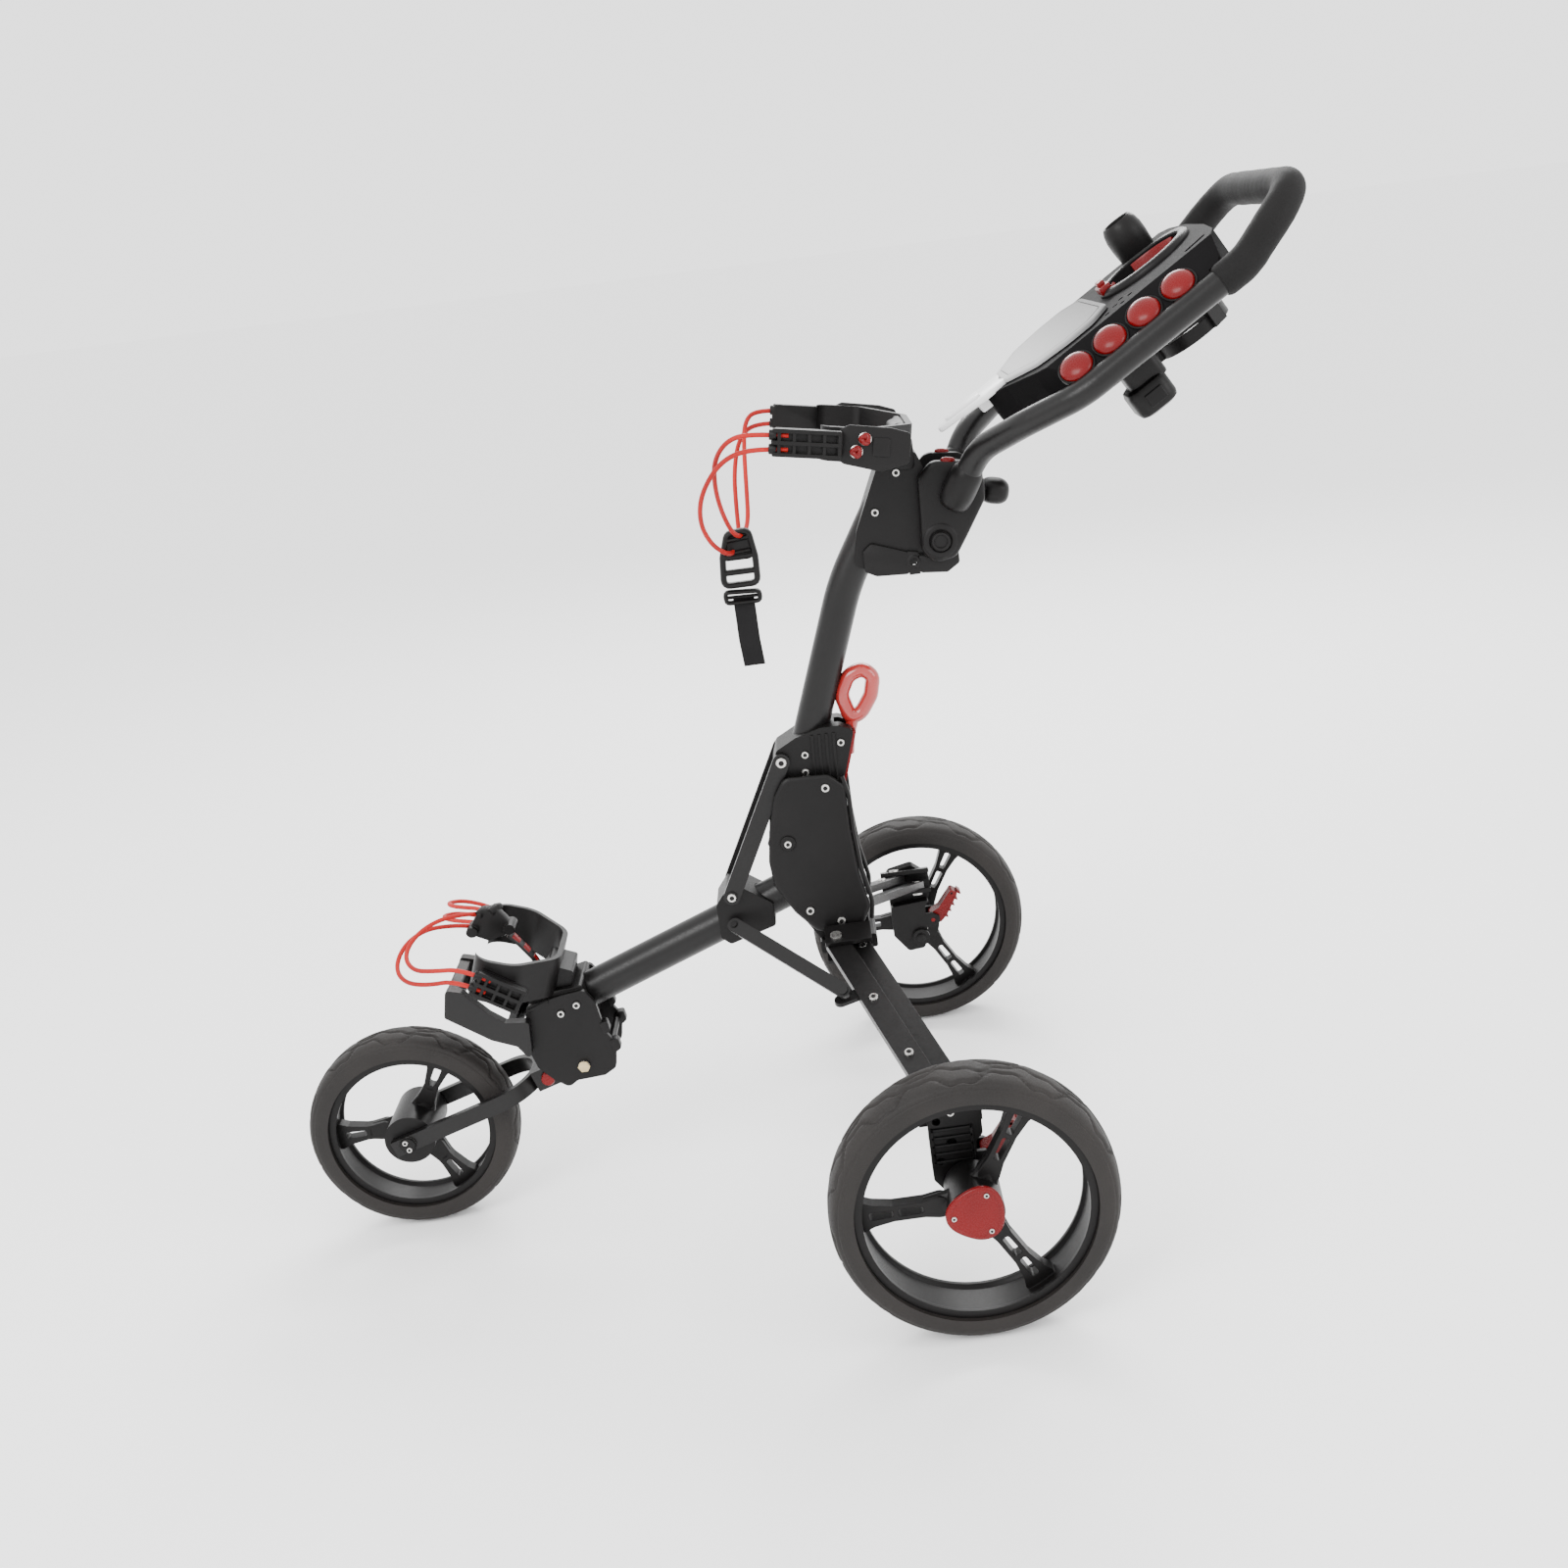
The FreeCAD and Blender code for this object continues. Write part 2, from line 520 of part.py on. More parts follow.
REST_SIDE = [(-468, 206), (-482, 228), (-509, 240), (-556, 275), (-549, 308), (-532, 303), (-506, 272),
             (-490, 259), (-464, 256)]
REST_FRONT = [(-556, 276), (-549, 306), (-536, 302), (-543, 274)]
REST_BACK = [(-482, 230), (-482, 252), (-492, 254), (-492, 232)]
REST_IN, REST_OUT = 40.0, 52.0
REST = joined(
    *both(REST_SIDE, REST_IN, REST_OUT, 4),
    *[plate(bar, -REST_OUT + 1, REST_OUT - 1, 2) for bar in (REST_FRONT, REST_BACK)],
)
save("bag_rest", REST.cut(FRONT_BRACKET))

CRADLE_AT, CRADLE_TILT = (-425.0, 301.0), 20.0
CRADLE_WAY = (-cos(radians(CRADLE_TILT)), 0, sin(radians(CRADLE_TILT)))
CRADLE_UP = (sin(radians(CRADLE_TILT)), 0, cos(radians(CRADLE_TILT)))


def horseshoe(depth, half, back, thick, low, high, corner):
    """A U of flat strip, open along +x: its back is half as wide as `back` says on each side."""
    outer = [(depth, -half), (depth * 0.5, -half), (0, -back), (0, back), (depth * 0.5, half), (depth, half)]
    inner = [(depth + 1, half - thick), (depth * 0.5 + 2, half - thick), (thick, back - 1),
             (thick, 1 - back), (depth * 0.5 + 2, thick - half), (depth + 1, thick - half)]
    return slab(outer, low, high, corner).cut(slab(inner, low - 1, high + 1, corner - 3))


LOWER_CRADLE = placed(horseshoe(92, 84, 40, 6, -24, 24, 34), (CRADLE_AT[0], 0, CRADLE_AT[1]),
                      CRADLE_WAY, CRADLE_UP)
LOWER_CRADLE = joined(LOWER_CRADLE, plate([(-462, 277), (-414, 279), (-409, 300), (-436, 312)], -26, 26, 3))
LOWER_CRADLE = LOWER_CRADLE.cut([FRONT_BRACKET, front_tube(FRONT_TUBE_R)])
save("lower_cradle", LOWER_CRADLE)


def cradle_tip(low, high, inner, outer, half, origin, way, up):
    """A tip block on the outside of a cradle arm, with two cord holes along it."""
    corners = [(low, -inner), (high, -inner), (high, -outer + 4), (high - 10, -outer), (low, -outer)]
    block = slab(corners, -half, half, 2)
    for level in (-half / 2, half / 2):
        hole = Part.makeCylinder(CORD_R + HOLE_ROOM, 30, V(high - 20, -(inner + outer) / 2, level), V(1, 0, 0))
        block = block.cut(hole)
    return placed(block, origin, way, up)


TIP_AT, TIP_TILT = (-481.0, 0.0, 316.0), 34.0
TIP_WAY = (-cos(radians(TIP_TILT)), 0, sin(radians(TIP_TILT)))
TIP_UP = (sin(radians(TIP_TILT)), 0, cos(radians(TIP_TILT)))
LOWER_TIP = cradle_tip(-29, 29, 84.2, 97, 15, TIP_AT, TIP_WAY, TIP_UP)
save("lower_cradle_tips", LOWER_TIP, mirrored(LOWER_TIP))

# The fork in its own axes: x from its pivot to the wheel, y across, z along the wheel's radius.
FORK_WAY = V(FRONT_X - FORK_PIVOT[0], 0, FRONT_R - FORK_PIVOT[1])
FORK_REACH = FORK_WAY.Length
BEND_AT = FORK_BASE + FORK_OUT


def fork_disc(radius):
    """A disc at the start of the fork's arms, as high as they are."""
    return Part.makeCylinder(radius, ARM_H, V(BEND_AT, 0, -ARM_H / 2))


ARM_LENGTH = FORK_REACH + 18 - BEND_AT
BEND = fork_disc(FORK_OUT).cut(fork_disc(FORK_IN))
BEND = BEND.common(Part.makeBox(FORK_OUT, 2 * FORK_OUT, ARM_H, V(FORK_BASE, -FORK_OUT, -ARM_H / 2)))
ARMS = [Part.makeBox(ARM_LENGTH, FORK_OUT - FORK_IN, ARM_H, V(BEND_AT, y, -ARM_H / 2))
        for y in (-FORK_OUT, FORK_IN)]
STEM = Part.makeBox(FORK_BASE + 5, 60, STEM_H, V(0, -30, -STEM_H / 2))
NOSE = Part.makeCylinder(STEM_H / 2, 60, V(0, -30, 0), V(0, 1, 0))
FORK = placed(joined(BEND, *ARMS, STEM, NOSE), (FORK_PIVOT[0], 0, FORK_PIVOT[1]), FORK_WAY,
              FORK_WAY.cross(V(0, 1, 0)))
BUTTON_AT = (FORK_PIVOT[0] - 45.0, FORK_PIVOT[1] - 13.8)
FRONT_AXLE = joined(
    pin(FRONT_X, FRONT_R, FRONT_AXLE_R, -FORK_OUT - 1, FORK_OUT + 1),
    *[pin(FRONT_X, FRONT_R, 9.5, side - 1.5, side + 1.5) for side in (-FORK_OUT - 1.6, FORK_OUT + 1.6)],
)
FORK = FORK.cut([pin(*FORK_PIVOT, 5.0 + RUN_FIT, -40, 40), FRONT_AXLE])
FORK = FORK.cut(pin(*BUTTON_AT, 8.0 + GAP, -31, -18))
save("fork", FORK)
save("front_axle", FRONT_AXLE)
BUTTON = joined(pin(*BUTTON_AT, 8.0, -33.0, -23.0), pin(*BUTTON_AT, 7.0, -33.5, -32.0))
save("fork_button", BUTTON)
save("frame_screws", *FRAME_PINS)

# ---- upper frame ----
FOOT = (FOLD[0] - 20 * cos(radians(UPPER_SLOPE)), FOLD[1] - 20 * sin(radians(UPPER_SLOPE)))
UPPER_PATH = [(x, 0, z) for x, z in (FOOT, UPPER_BEND, UPPER_TOP)]
UPPER = sweep(UPPER_PATH, UPPER_TUBE_R, 260)
UPPER_SOLID = UPPER
HANDLE_PIN = joined(pin(*HANDLE_PIVOT, 6.0, -44, 44),
                    *[pin(*HANDLE_PIVOT, 10.0, side - 1.5, side + 1.5) for side in (-44.2, 44.2)])
LINK_PIN = joined(pin(*LINK_TOP, 4.0, -32.5, 32.5),
                  *[pin(*LINK_TOP, 5.5, side - 1.0, side + 1.0) for side in (-33.2, 33.2)])
UPPER_PINS = [HANDLE_PIN, LINK_PIN]
for side in (-1, 1):
    UPPER_PINS += [screw(x, z, BRACKET_HALF, side, 4.0, 2.0) for x, z in
                   ((-113, 520), (-115, 500), (-72, 529))]
    UPPER_PINS += [screw(x, z, 25.0, side, 4.0, 2.0) for x, z in ((23, 815), (-4, 776))]

FOLD_BRACKET = [(-150, 512), (-144, 528), (-121, 540), (-92, 548), (-72, 548), (-56, 541), (-76, 478),
                (-134, 486), (-146, 500)]
LEVER_SLOT = [(-76, 552), (-50, 552), (-50, 500), (-82, 500)]
FOLD_BRACKET = plate(FOLD_BRACKET, -BRACKET_HALF, BRACKET_HALF, 6).cut([UPPER_SOLID, *UPPER_PINS])
FOLD_BRACKET = FOLD_BRACKET.cut(plate(LEVER_SLOT, -9, 9, 2))

HEAD = [(-33, 722), (-26, 758), (3, 822), (20, 838), (46, 834), (60, 796), (78, 752), (80, 736),
        (62, 724), (30, 728), (2, 706)]
HEAD = plate(HEAD, -25, 25, 7).cut([UPPER_SOLID, *UPPER_PINS])
save("upper_head", HEAD)
UPPER = UPPER.cut(sweep(UPPER_PATH, UPPER_TUBE_R - WALL, 260))
UPPER = UPPER.cut([pin(*FOLD, 6.0 + RUN_FIT, -40, 40), *UPPER_PINS])
save("upper_tube", UPPER)

LEVER_PIVOT = (-64.0, 516.0)
LEVER = [(-70, 510), (-57, 510), (-46, 545), (-30, 566), (-23, 588), (-34, 602), (-56, 600), (-70, 576),
         (-70, 545)]
LEVER_HOLE = [(-60, 552), (-50, 556), (-38, 574), (-36, 586), (-44, 591), (-55, 586), (-61, 572)]
LEVER = plate(LEVER, -8, 8, 6).cut(plate(LEVER_HOLE, -10, 10, 5))
LEVER = joined(LEVER, pin(*LEVER_PIVOT, 3.0, -20, 20))
save("pull_lever", LEVER)
FOLD_BRACKET = FOLD_BRACKET.cut(pin(*LEVER_PIVOT, 3.0 + RUN_FIT, -21, 21))
save("fold_bracket", FOLD_BRACKET)

HOOK = [(-22, 737), (-14, 749), (30, 751), (36, 726), (62, 716), (71, 722), (73, 728), (80, 724), (79, 712),
        (66, 703), (28, 708), (-10, 714), (-22, 722)]
HOOK_HOLE = (31.0, 719.0)
HOOK = joined(*both(HOOK, 25.2, 29.2, 5), pin(73, 713, 4.5, -26, 26))
HOOK = HOOK.cut([pin(*HOOK_HOLE, 4.0, -40, 40), pin(*HANDLE_PIVOT, 10.5, -40, 40), *UPPER_PINS])
HOOK = HOOK.cut(HEAD)
save("parking_hook", HOOK)

UPPER_CRADLE_AT, UPPER_TILT = (42.0, 849.0), 10.0
UPPER_WAY = (-cos(radians(UPPER_TILT)), 0, sin(radians(UPPER_TILT)))
UPPER_UP = (sin(radians(UPPER_TILT)), 0, cos(radians(UPPER_TILT)))
CRADLE_BACK = (UPPER_CRADLE_AT[0], 0, UPPER_CRADLE_AT[1])
UPPER_CRADLE = placed(horseshoe(96, 112, 46, 7, -17, 17, 14), CRADLE_BACK, UPPER_WAY, UPPER_UP)
save("upper_cradle", UPPER_CRADLE.cut([HEAD, *UPPER_PINS]))
UPPER_TIP = cradle_tip(74, 145, 112.2, 124, 14, CRADLE_BACK, UPPER_WAY, UPPER_UP)
save("upper_cradle_tips", UPPER_TIP, mirrored(UPPER_TIP))
save("upper_screws", *UPPER_PINS)

# ---- handle ----
# The console in its own axes: x up the handle, y across, z up from the tubes' plane.
CONSOLE_WAY = (cos(radians(CONSOLE_SLOPE)), 0, sin(radians(CONSOLE_SLOPE)))
CONSOLE_UP = (-sin(radians(CONSOLE_SLOPE)), 0, cos(radians(CONSOLE_SLOPE)))


def on_console(shape):
    return placed(shape, (CONSOLE_ORIGIN[0], 0, CONSOLE_ORIGIN[1]), CONSOLE_WAY, CONSOLE_UP)


HANDLE_SIDE = [(84, 50, 788), (108, 72, 834), (152, 122, 861), (206, HANDLE_HALF, 886),
               (372, HANDLE_HALF, 990), (430, 132, 1055)]
HANDLE_PATH = [(x, -y, z) for x, y, z in HANDLE_SIDE] + [(x, y, z) for x, y, z in reversed(HANDLE_SIDE)]
LOOP_BEND = 68.0
HANDLE_SOLID = sweep(HANDLE_PATH, HANDLE_TUBE_R, LOOP_BEND)
HANDLE_TUBE = HANDLE_SOLID.cut(sweep(HANDLE_PATH, HANDLE_TUBE_R - WALL, LOOP_BEND))
save("handle_tube", HANDLE_TUBE)
GRIP = sweep(HANDLE_PATH, GRIP_R, LOOP_BEND).cut(sweep(HANDLE_PATH, HANDLE_TUBE_R + 0.05, LOOP_BEND))
GRIP = GRIP.common(on_console(Part.makeBox(GRIP_SPAN, 400, 400, V(GRIP_FROM, -200, -200))))
save("handle_grip", GRIP)

CLAMP = [(46, 812), (64, 824), (100, 818), (117, 794), (114, 776), (88, 738), (74, 720), (54, 718),
         (40, 732), (42, 760)]
CLAMP_LEVER_PIVOT = (107.0, 786.0)
HANDLE_CLAMP = joined(
    *both(CLAMP, 29.6, 42.4, 8),
    pin(90, 806, 9.0, -30, 30),
    *[rod((78, y, 778), (98, y * 1.37, 815), 18.0) for y in (-45, 45)],
)
HANDLE_CLAMP = HANDLE_CLAMP.cut([HANDLE_SOLID, pin(*HANDLE_PIVOT, 6.0 + RUN_FIT, -50, 50)])
HANDLE_CLAMP = HANDLE_CLAMP.cut([pin(*HANDLE_PIVOT, 10.4, side - 4.5, side + 4.5) for side in (-46.8, 46.8)])
HANDLE_CLAMP = HANDLE_CLAMP.cut([pin(*CLAMP_LEVER_PIVOT, 3.0 + RUN_FIT, -36, 36)])
HANDLE_CLAMP = HANDLE_CLAMP.cut(Part.makeBox(90, 59.2, 90, V(48, -29.6, 700)))
save("handle_clamp", HANDLE_CLAMP)

CAM = [(101, 780), (104, 793), (116, 796), (138, 792), (140, 778), (130, 766), (116, 764), (104, 774)]
save("clamp_lever", joined(plate(CAM, -15, 15, 4), pin(*CLAMP_LEVER_PIVOT, 3.0, -35, 35)))

# ---- console, in the axes of on_console() ----
def upright(radius, x, y, low, high):
    return Part.makeCylinder(radius, high - low, V(x, y, low))


PANEL = [(-12, 20), (8, 44), (36, 100), (64, 142), (104, 161), (212, 161), (240, 142), (258, 96), (264, 40)]
PANEL += [(x, -y) for x, y in reversed(PANEL)]
PANEL_LOW, PANEL_HIGH = -9.0, 24.0
FLANK_TOP, FLANK_FOOT, FLANK_DROP = 118.0, 160.0, 31.0
FLANK_LOW = PANEL_HIGH - FLANK_DROP
FLANK = [(FLANK_TOP, PANEL_HIGH), (FLANK_TOP, 60), (200, 60), (200, FLANK_LOW), (FLANK_FOOT, FLANK_LOW)]
FLANK_CUT = Part.Face(Part.makePolygon([V(-50, y, z) for y, z in FLANK + FLANK[:1]])).extrude(V(400, 0, 0))
FLANK_TILT = atan2(FLANK_DROP, FLANK_FOOT - FLANK_TOP)
LID = [(12, -34), (44, -84), (80, -98), (112, -98), (136, -72)]
LID += [(x, -y) for x, y in reversed(LID)]
LID_HIGH = 136.0
TRAY = [(34, -54), (124, -54), (124, 54), (34, 54)]
TRAY_FLOOR = 12.0
BALLS = (70, 111, 152, 193)
BALL_R = 16.0
TEES = [(128, -98), (140, -88), (150, -76), (146, -101), (158, -90)]
SOCKET_AT, SOCKET_R, SOCKET_H = (216.0, 96.0), 14.0, 44.0


def on_flank(shape, x):
    """Sets a shape on the middle of the left flank, its z out of the flank."""
    middle = (x, -(FLANK_TOP + FLANK_FOOT) / 2, PANEL_HIGH - FLANK_DROP / 2)
    return placed(shape, middle, (1, 0, 0), (0, -sin(FLANK_TILT), cos(FLANK_TILT)))


CONSOLE = slab(PANEL, PANEL_LOW, PANEL_HIGH, 16).cut([FLANK_CUT, mirrored(FLANK_CUT)])
CONSOLE = joined(CONSOLE, upright(RING_R + 10, RING_AT, 0, PANEL_LOW, PANEL_HIGH + 5))
CONSOLE = CONSOLE.cut([
    upright(RING_R, RING_AT, 0, -30, 60),
    slab(TRAY, TRAY_FLOOR, 40, 6),
    slab([(222, -108), (248, -100), (248, -92), (222, -100)], -30, 40, 3),
    *[on_flank(upright(BALL_R, 0, 0, -4, 20), x) for x in BALLS],
    *[upright(3.0, x, y, PANEL_HIGH - 15, 60) for x, y in TEES],
])
CONSOLE = on_console(CONSOLE).cut([HANDLE_SOLID, GRIP, HANDLE_CLAMP])
CONSOLE = max(CONSOLE.Solids, key=lambda solid: solid.Volume)
save("console", CONSOLE)

TRAY_RING = upright(RING_R - 0.2, RING_AT, 0, -6, 16).cut(upright(RING_R - 4, RING_AT, 0, -10, 20))
save("tray_ring", on_console(TRAY_RING))


def ball_insert(x):
    """A domed disc that fills one round pocket of the flank."""
    dome_r, seat_r = 24.0, BALL_R - 0.2
    dome = Part.makeSphere(dome_r, V(0, 0, -sqrt(dome_r**2 - seat_r**2)))
    cap = dome.common(upright(seat_r, 0, 0, -1, 20))
    return on_console(on_flank(joined(upright(seat_r, 0, 0, -4, 0), cap), x)).cut(HANDLE_SOLID)


save("ball_inserts", *[ball_insert(x) for x in BALLS])
save("scorecard_lid", on_console(slab(LID, PANEL_HIGH + GAP, PANEL_HIGH + 5.5, 14)))
SOCKET = upright(20.0, *SOCKET_AT, PANEL_HIGH + 0.1, PANEL_HIGH + SOCKET_H)
SOCKET = SOCKET.cut(upright(SOCKET_R, *SOCKET_AT, PANEL_HIGH + 6, PANEL_HIGH + 60))
save("umbrella_socket", on_console(SOCKET))

BASKET_R, BASKET_LOW = 42.0, -66.0
BASKET = [upright(BASKET_R, RING_AT, 0, BASKET_LOW, BASKET_LOW + 14).cut(
    upright(BASKET_R - 4, RING_AT, 0, BASKET_LOW - 1, BASKET_LOW + 15))]
for angle in (60, 180, 300):
    turn = radians(angle)
    x, y = RING_AT + (BASKET_R + 4) * cos(turn), (BASKET_R + 4) * sin(turn)
    strut = Part.makeBox(7, 18, PANEL_LOW - BASKET_LOW - 0.1, V(-6, -9, BASKET_LOW))
    strut.rotate(V(0, 0, 0), V(0, 0, 1), angle)
    strut.translate(V(x, y, 0))
    BASKET.append(strut)
BASKET.append(Part.makeBox(2 * BASKET_R - 4, 14, 4, V(RING_AT - BASKET_R + 2, -7, BASKET_LOW)))
save("cup_basket", on_console(joined(*BASKET)))
BLOCK = joined(
    slab([(104, -86), (146, -86), (146, -46), (104, -46)], -62, PANEL_LOW - 0.1, 5),
    slab([(96, -92), (142, -92), (142, -40), (96, -40)], -88, -56, 8),
)
save("accessory_block", on_console(BLOCK))

# ---- elastic cords, buckles and the strap ----
UPPER_TIP_Y, LOWER_TIP_Y = 118.1, 90.6


def cord_route(back, way, up, tip_y, reach, level, middle):
    """From the eye of the left tip, straight out of its hole, through the middle, to the right tip."""
    eye = V(*back) + V(*way) * reach + V(*up) * level
    lead = eye + V(*way) * CORD_LEAD
    start = [(point.x, -tip_y, point.z) for point in (eye, lead)]
    return start + middle + [(x, -y, z) for x, y, z in reversed(start)]


UPPER_SIDE = (CRADLE_BACK, UPPER_WAY, UPPER_UP, UPPER_TIP_Y, 128)
LOWER_SIDE = (TIP_AT, TIP_WAY, TIP_UP, LOWER_TIP_Y, 12)
CORDS = {
    "upper_cord_outer": cord_route(*UPPER_SIDE, -7, [
        (-152, -110, 862), (-178, -92, 830), (-186, -72, 798), (-180, -48, 770), (-167, -24, 752),
        (-158, 0, 748), (-152, 24, 758), (-152, 52, 788), (-150, 78, 824), (-140, 102, 858)]),
    "upper_cord_inner": cord_route(*UPPER_SIDE, 7, [
        (-142, -114, 882), (-160, -98, 862), (-165, -76, 832), (-163, -50, 800), (-156, -24, 772),
        (-148, 0, 764), (-140, 24, 774), (-138, 52, 806), (-136, 78, 842), (-132, 104, 874)]),
    "lower_cord_outer": cord_route(*LOWER_SIDE, -7.5, [
        (-556, -90, 334), (-582, -80, 336), (-595, -60, 346), (-588, -38, 362), (-566, -20, 372),
        (-536, -8, 368), (-508, 6, 356), (-510, 28, 351), (-528, 42, 350), (-546, 50, 350), (-562, 62, 350),
        (-567, 81, 347), (-553, 96, 342)]),
    "lower_cord_inner": cord_route(*LOWER_SIDE, 7.5, [
        (-546, -91, 350), (-570, -82, 350), (-582, -62, 360), (-572, -42, 374), (-548, -28, 384),
        (-520, -14, 382), (-500, 4, 372), (-503, 26, 367), (-520, 42, 366), (-537, 50, 366), (-553, 61, 366),
        (-558, 80, 363), (-543, 95, 357)]),
}
for node, points in CORDS.items():
    edges, radii = route(points)
    length = sum(edge.Length for edge in edges)
    cord = sweep(points, CORD_R)
    ratio = cord.Volume / (pi * CORD_R**2 * length)
    print(f"{node}: {length:.0f} mm, volume ratio {ratio:.3f}, radii", " ".join(f"{r:.0f}" for r in radii))
    save(node, cord)
AROUND_CORDS = [sweep(points, CORD_R + 0.4) for points in CORDS.values()]

BUCKLE = [(-176, 742), (-164, 770), (-140, 772), (-136, 742), (-138, 712), (-174, 712)]
BUCKLE_SLOT = [(-168, 728), (-144, 728), (-144, 718), (-168, 718)]
BUCKLE = plate(BUCKLE, -7, 7, 5).cut([plate(BUCKLE_SLOT, -9, 9, 2), *AROUND_CORDS])
SLIDE = plate([(-176, 707), (-137, 705), (-137, 692), (-176, 694)], -6, 6, 2)
SLIDE = SLIDE.cut(plate([(-169, 703), (-143, 702), (-143, 696), (-169, 697)], -9, 9, 1))
save("upper_buckle", *[max(shape.Solids, key=lambda s: s.Volume) for shape in (BUCKLE, SLIDE)])
TAB = [(-167, 691), (-144, 689), (-144, 655), (-142, 621), (-165, 623), (-167, 655)]
save("upper_strap", plate(TAB, -1.2, 1.2, 1))

LOWER_BUCKLE = [(-520, 366), (-506, 384), (-484, 384), (-470, 366), (-474, 344), (-500, 340), (-518, 348)]
LOWER_BUCKLE = plate(LOWER_BUCKLE, -9, 9, 4).cut(AROUND_CORDS)
STRAP = [(-480, 341), (-470, 342), (-452, 318), (-440, 290), (-448, 288), (-460, 312)]
STRAP = plate(STRAP, -10, 10, 2).cut([LOWER_CRADLE, FRONT_BRACKET])
save("lower_buckle", *[max(shape.Solids, key=lambda s: s.Volume) for shape in (LOWER_BUCKLE, STRAP)])
print(len(os.listdir("parts")), "nodes")
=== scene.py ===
# %% [markdown]
# A three-wheeled golf push cart, folded out and ready to carry a bag. Its load-bearing parts come in
# as a fixed frame of named nodes, one for each real piece. This script never moves them: it gives
# them their finishes, and builds in finer detail the pieces where plain shapes would look wrong.

import json

import bmesh
import bpy
from math import atan2, cos, exp, pi, radians, sin, sqrt, tan
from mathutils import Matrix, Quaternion, Vector


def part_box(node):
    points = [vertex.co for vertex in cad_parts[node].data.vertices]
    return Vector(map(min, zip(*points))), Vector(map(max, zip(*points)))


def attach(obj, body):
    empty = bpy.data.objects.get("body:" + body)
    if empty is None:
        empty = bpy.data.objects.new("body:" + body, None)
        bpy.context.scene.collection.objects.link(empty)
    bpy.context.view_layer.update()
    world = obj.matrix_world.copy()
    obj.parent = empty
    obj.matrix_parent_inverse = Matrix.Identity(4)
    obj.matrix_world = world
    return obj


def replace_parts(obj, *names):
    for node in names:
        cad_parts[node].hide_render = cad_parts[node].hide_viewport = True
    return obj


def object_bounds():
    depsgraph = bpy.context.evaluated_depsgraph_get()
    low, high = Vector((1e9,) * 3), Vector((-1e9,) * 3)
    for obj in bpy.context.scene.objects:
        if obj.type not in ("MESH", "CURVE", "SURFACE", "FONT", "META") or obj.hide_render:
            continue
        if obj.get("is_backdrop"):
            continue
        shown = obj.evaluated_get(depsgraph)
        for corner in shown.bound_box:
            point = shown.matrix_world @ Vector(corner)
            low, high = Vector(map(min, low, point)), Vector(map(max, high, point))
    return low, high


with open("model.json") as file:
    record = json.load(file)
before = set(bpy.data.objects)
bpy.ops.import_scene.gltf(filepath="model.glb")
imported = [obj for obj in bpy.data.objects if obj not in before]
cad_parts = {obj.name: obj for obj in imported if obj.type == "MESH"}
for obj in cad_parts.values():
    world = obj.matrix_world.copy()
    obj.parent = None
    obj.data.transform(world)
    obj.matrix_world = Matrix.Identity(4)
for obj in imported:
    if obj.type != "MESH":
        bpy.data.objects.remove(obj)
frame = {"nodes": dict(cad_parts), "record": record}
frame_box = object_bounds()

# %% [markdown]
# Everything on a cart is measured from its rear axle: the maker's drawing has the axle at x = 0, the
# middle plane at y = 0 and the ground at z = 0, in millimetres. Blender works in metres, so one
# small helper turns a drawing position into a scene position, and it takes the axle's place from
# the left tyre's own box.

# %% Measures
tyre_low, tyre_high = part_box("left_tyre")
axle_x = (tyre_low.x + tyre_high.x) / 2


def at(x, y, z):
    return Vector((axle_x + x / 1000, y / 1000, z / 1000))


print(f"rear axle at x = {axle_x:.4f} m")

# %% [markdown]
# The camera stands to the left of the cart, a little above the handle, and looks slightly down. It
# is rolled by seven degrees, which makes the cart lean back towards its handle. A camera is easiest
# to aim with one direction vector and one roll angle, so no long list of matrix numbers is needed.

# %% Camera
camera = bpy.data.objects.new("camera", bpy.data.cameras.new("camera"))
bpy.context.collection.objects.link(camera)
bpy.context.scene.camera = camera
camera.location = at(-65.9, -1809.2, 1073.3)
look = Vector((0.0227, 0.9529, -0.3025))
roll = Quaternion((0, 0, 1), radians(-7.128))
camera.rotation_mode = "QUATERNION"
camera.rotation_quaternion = look.to_track_quat("-Z", "Y") @ roll
camera.data.sensor_width = 36
camera.data.lens = 38.79
camera.data.shift_x = -0.0655
camera.data.shift_y = -0.0186
print("camera at", tuple(round(c, 3) for c in camera.location))

# %% [markdown]
# A finish here is a small group of nodes around one Principled shader. Real surfaces are never one
# even colour, so a cloudy noise mixes two tones, and a finer noise changes the roughness and gives
# the grain its relief. Painted maps could do it too, but noise in object coordinates needs no
# unwrapping and follows a piece when it moves. A bevel node rounds the light on sharp edges.

# %% Finish helper
finishes = {}


def ramp(nodes, low, high, start=0.35, end=0.65):
    """A two-stop grey ramp."""
    node = nodes.new("ShaderNodeValToRGB")
    stops = node.color_ramp.elements
    stops[0].position, stops[1].position = start, end
    stops[0].color = (low, low, low, 1)
    stops[1].color = (high, high, high, 1)
    return node


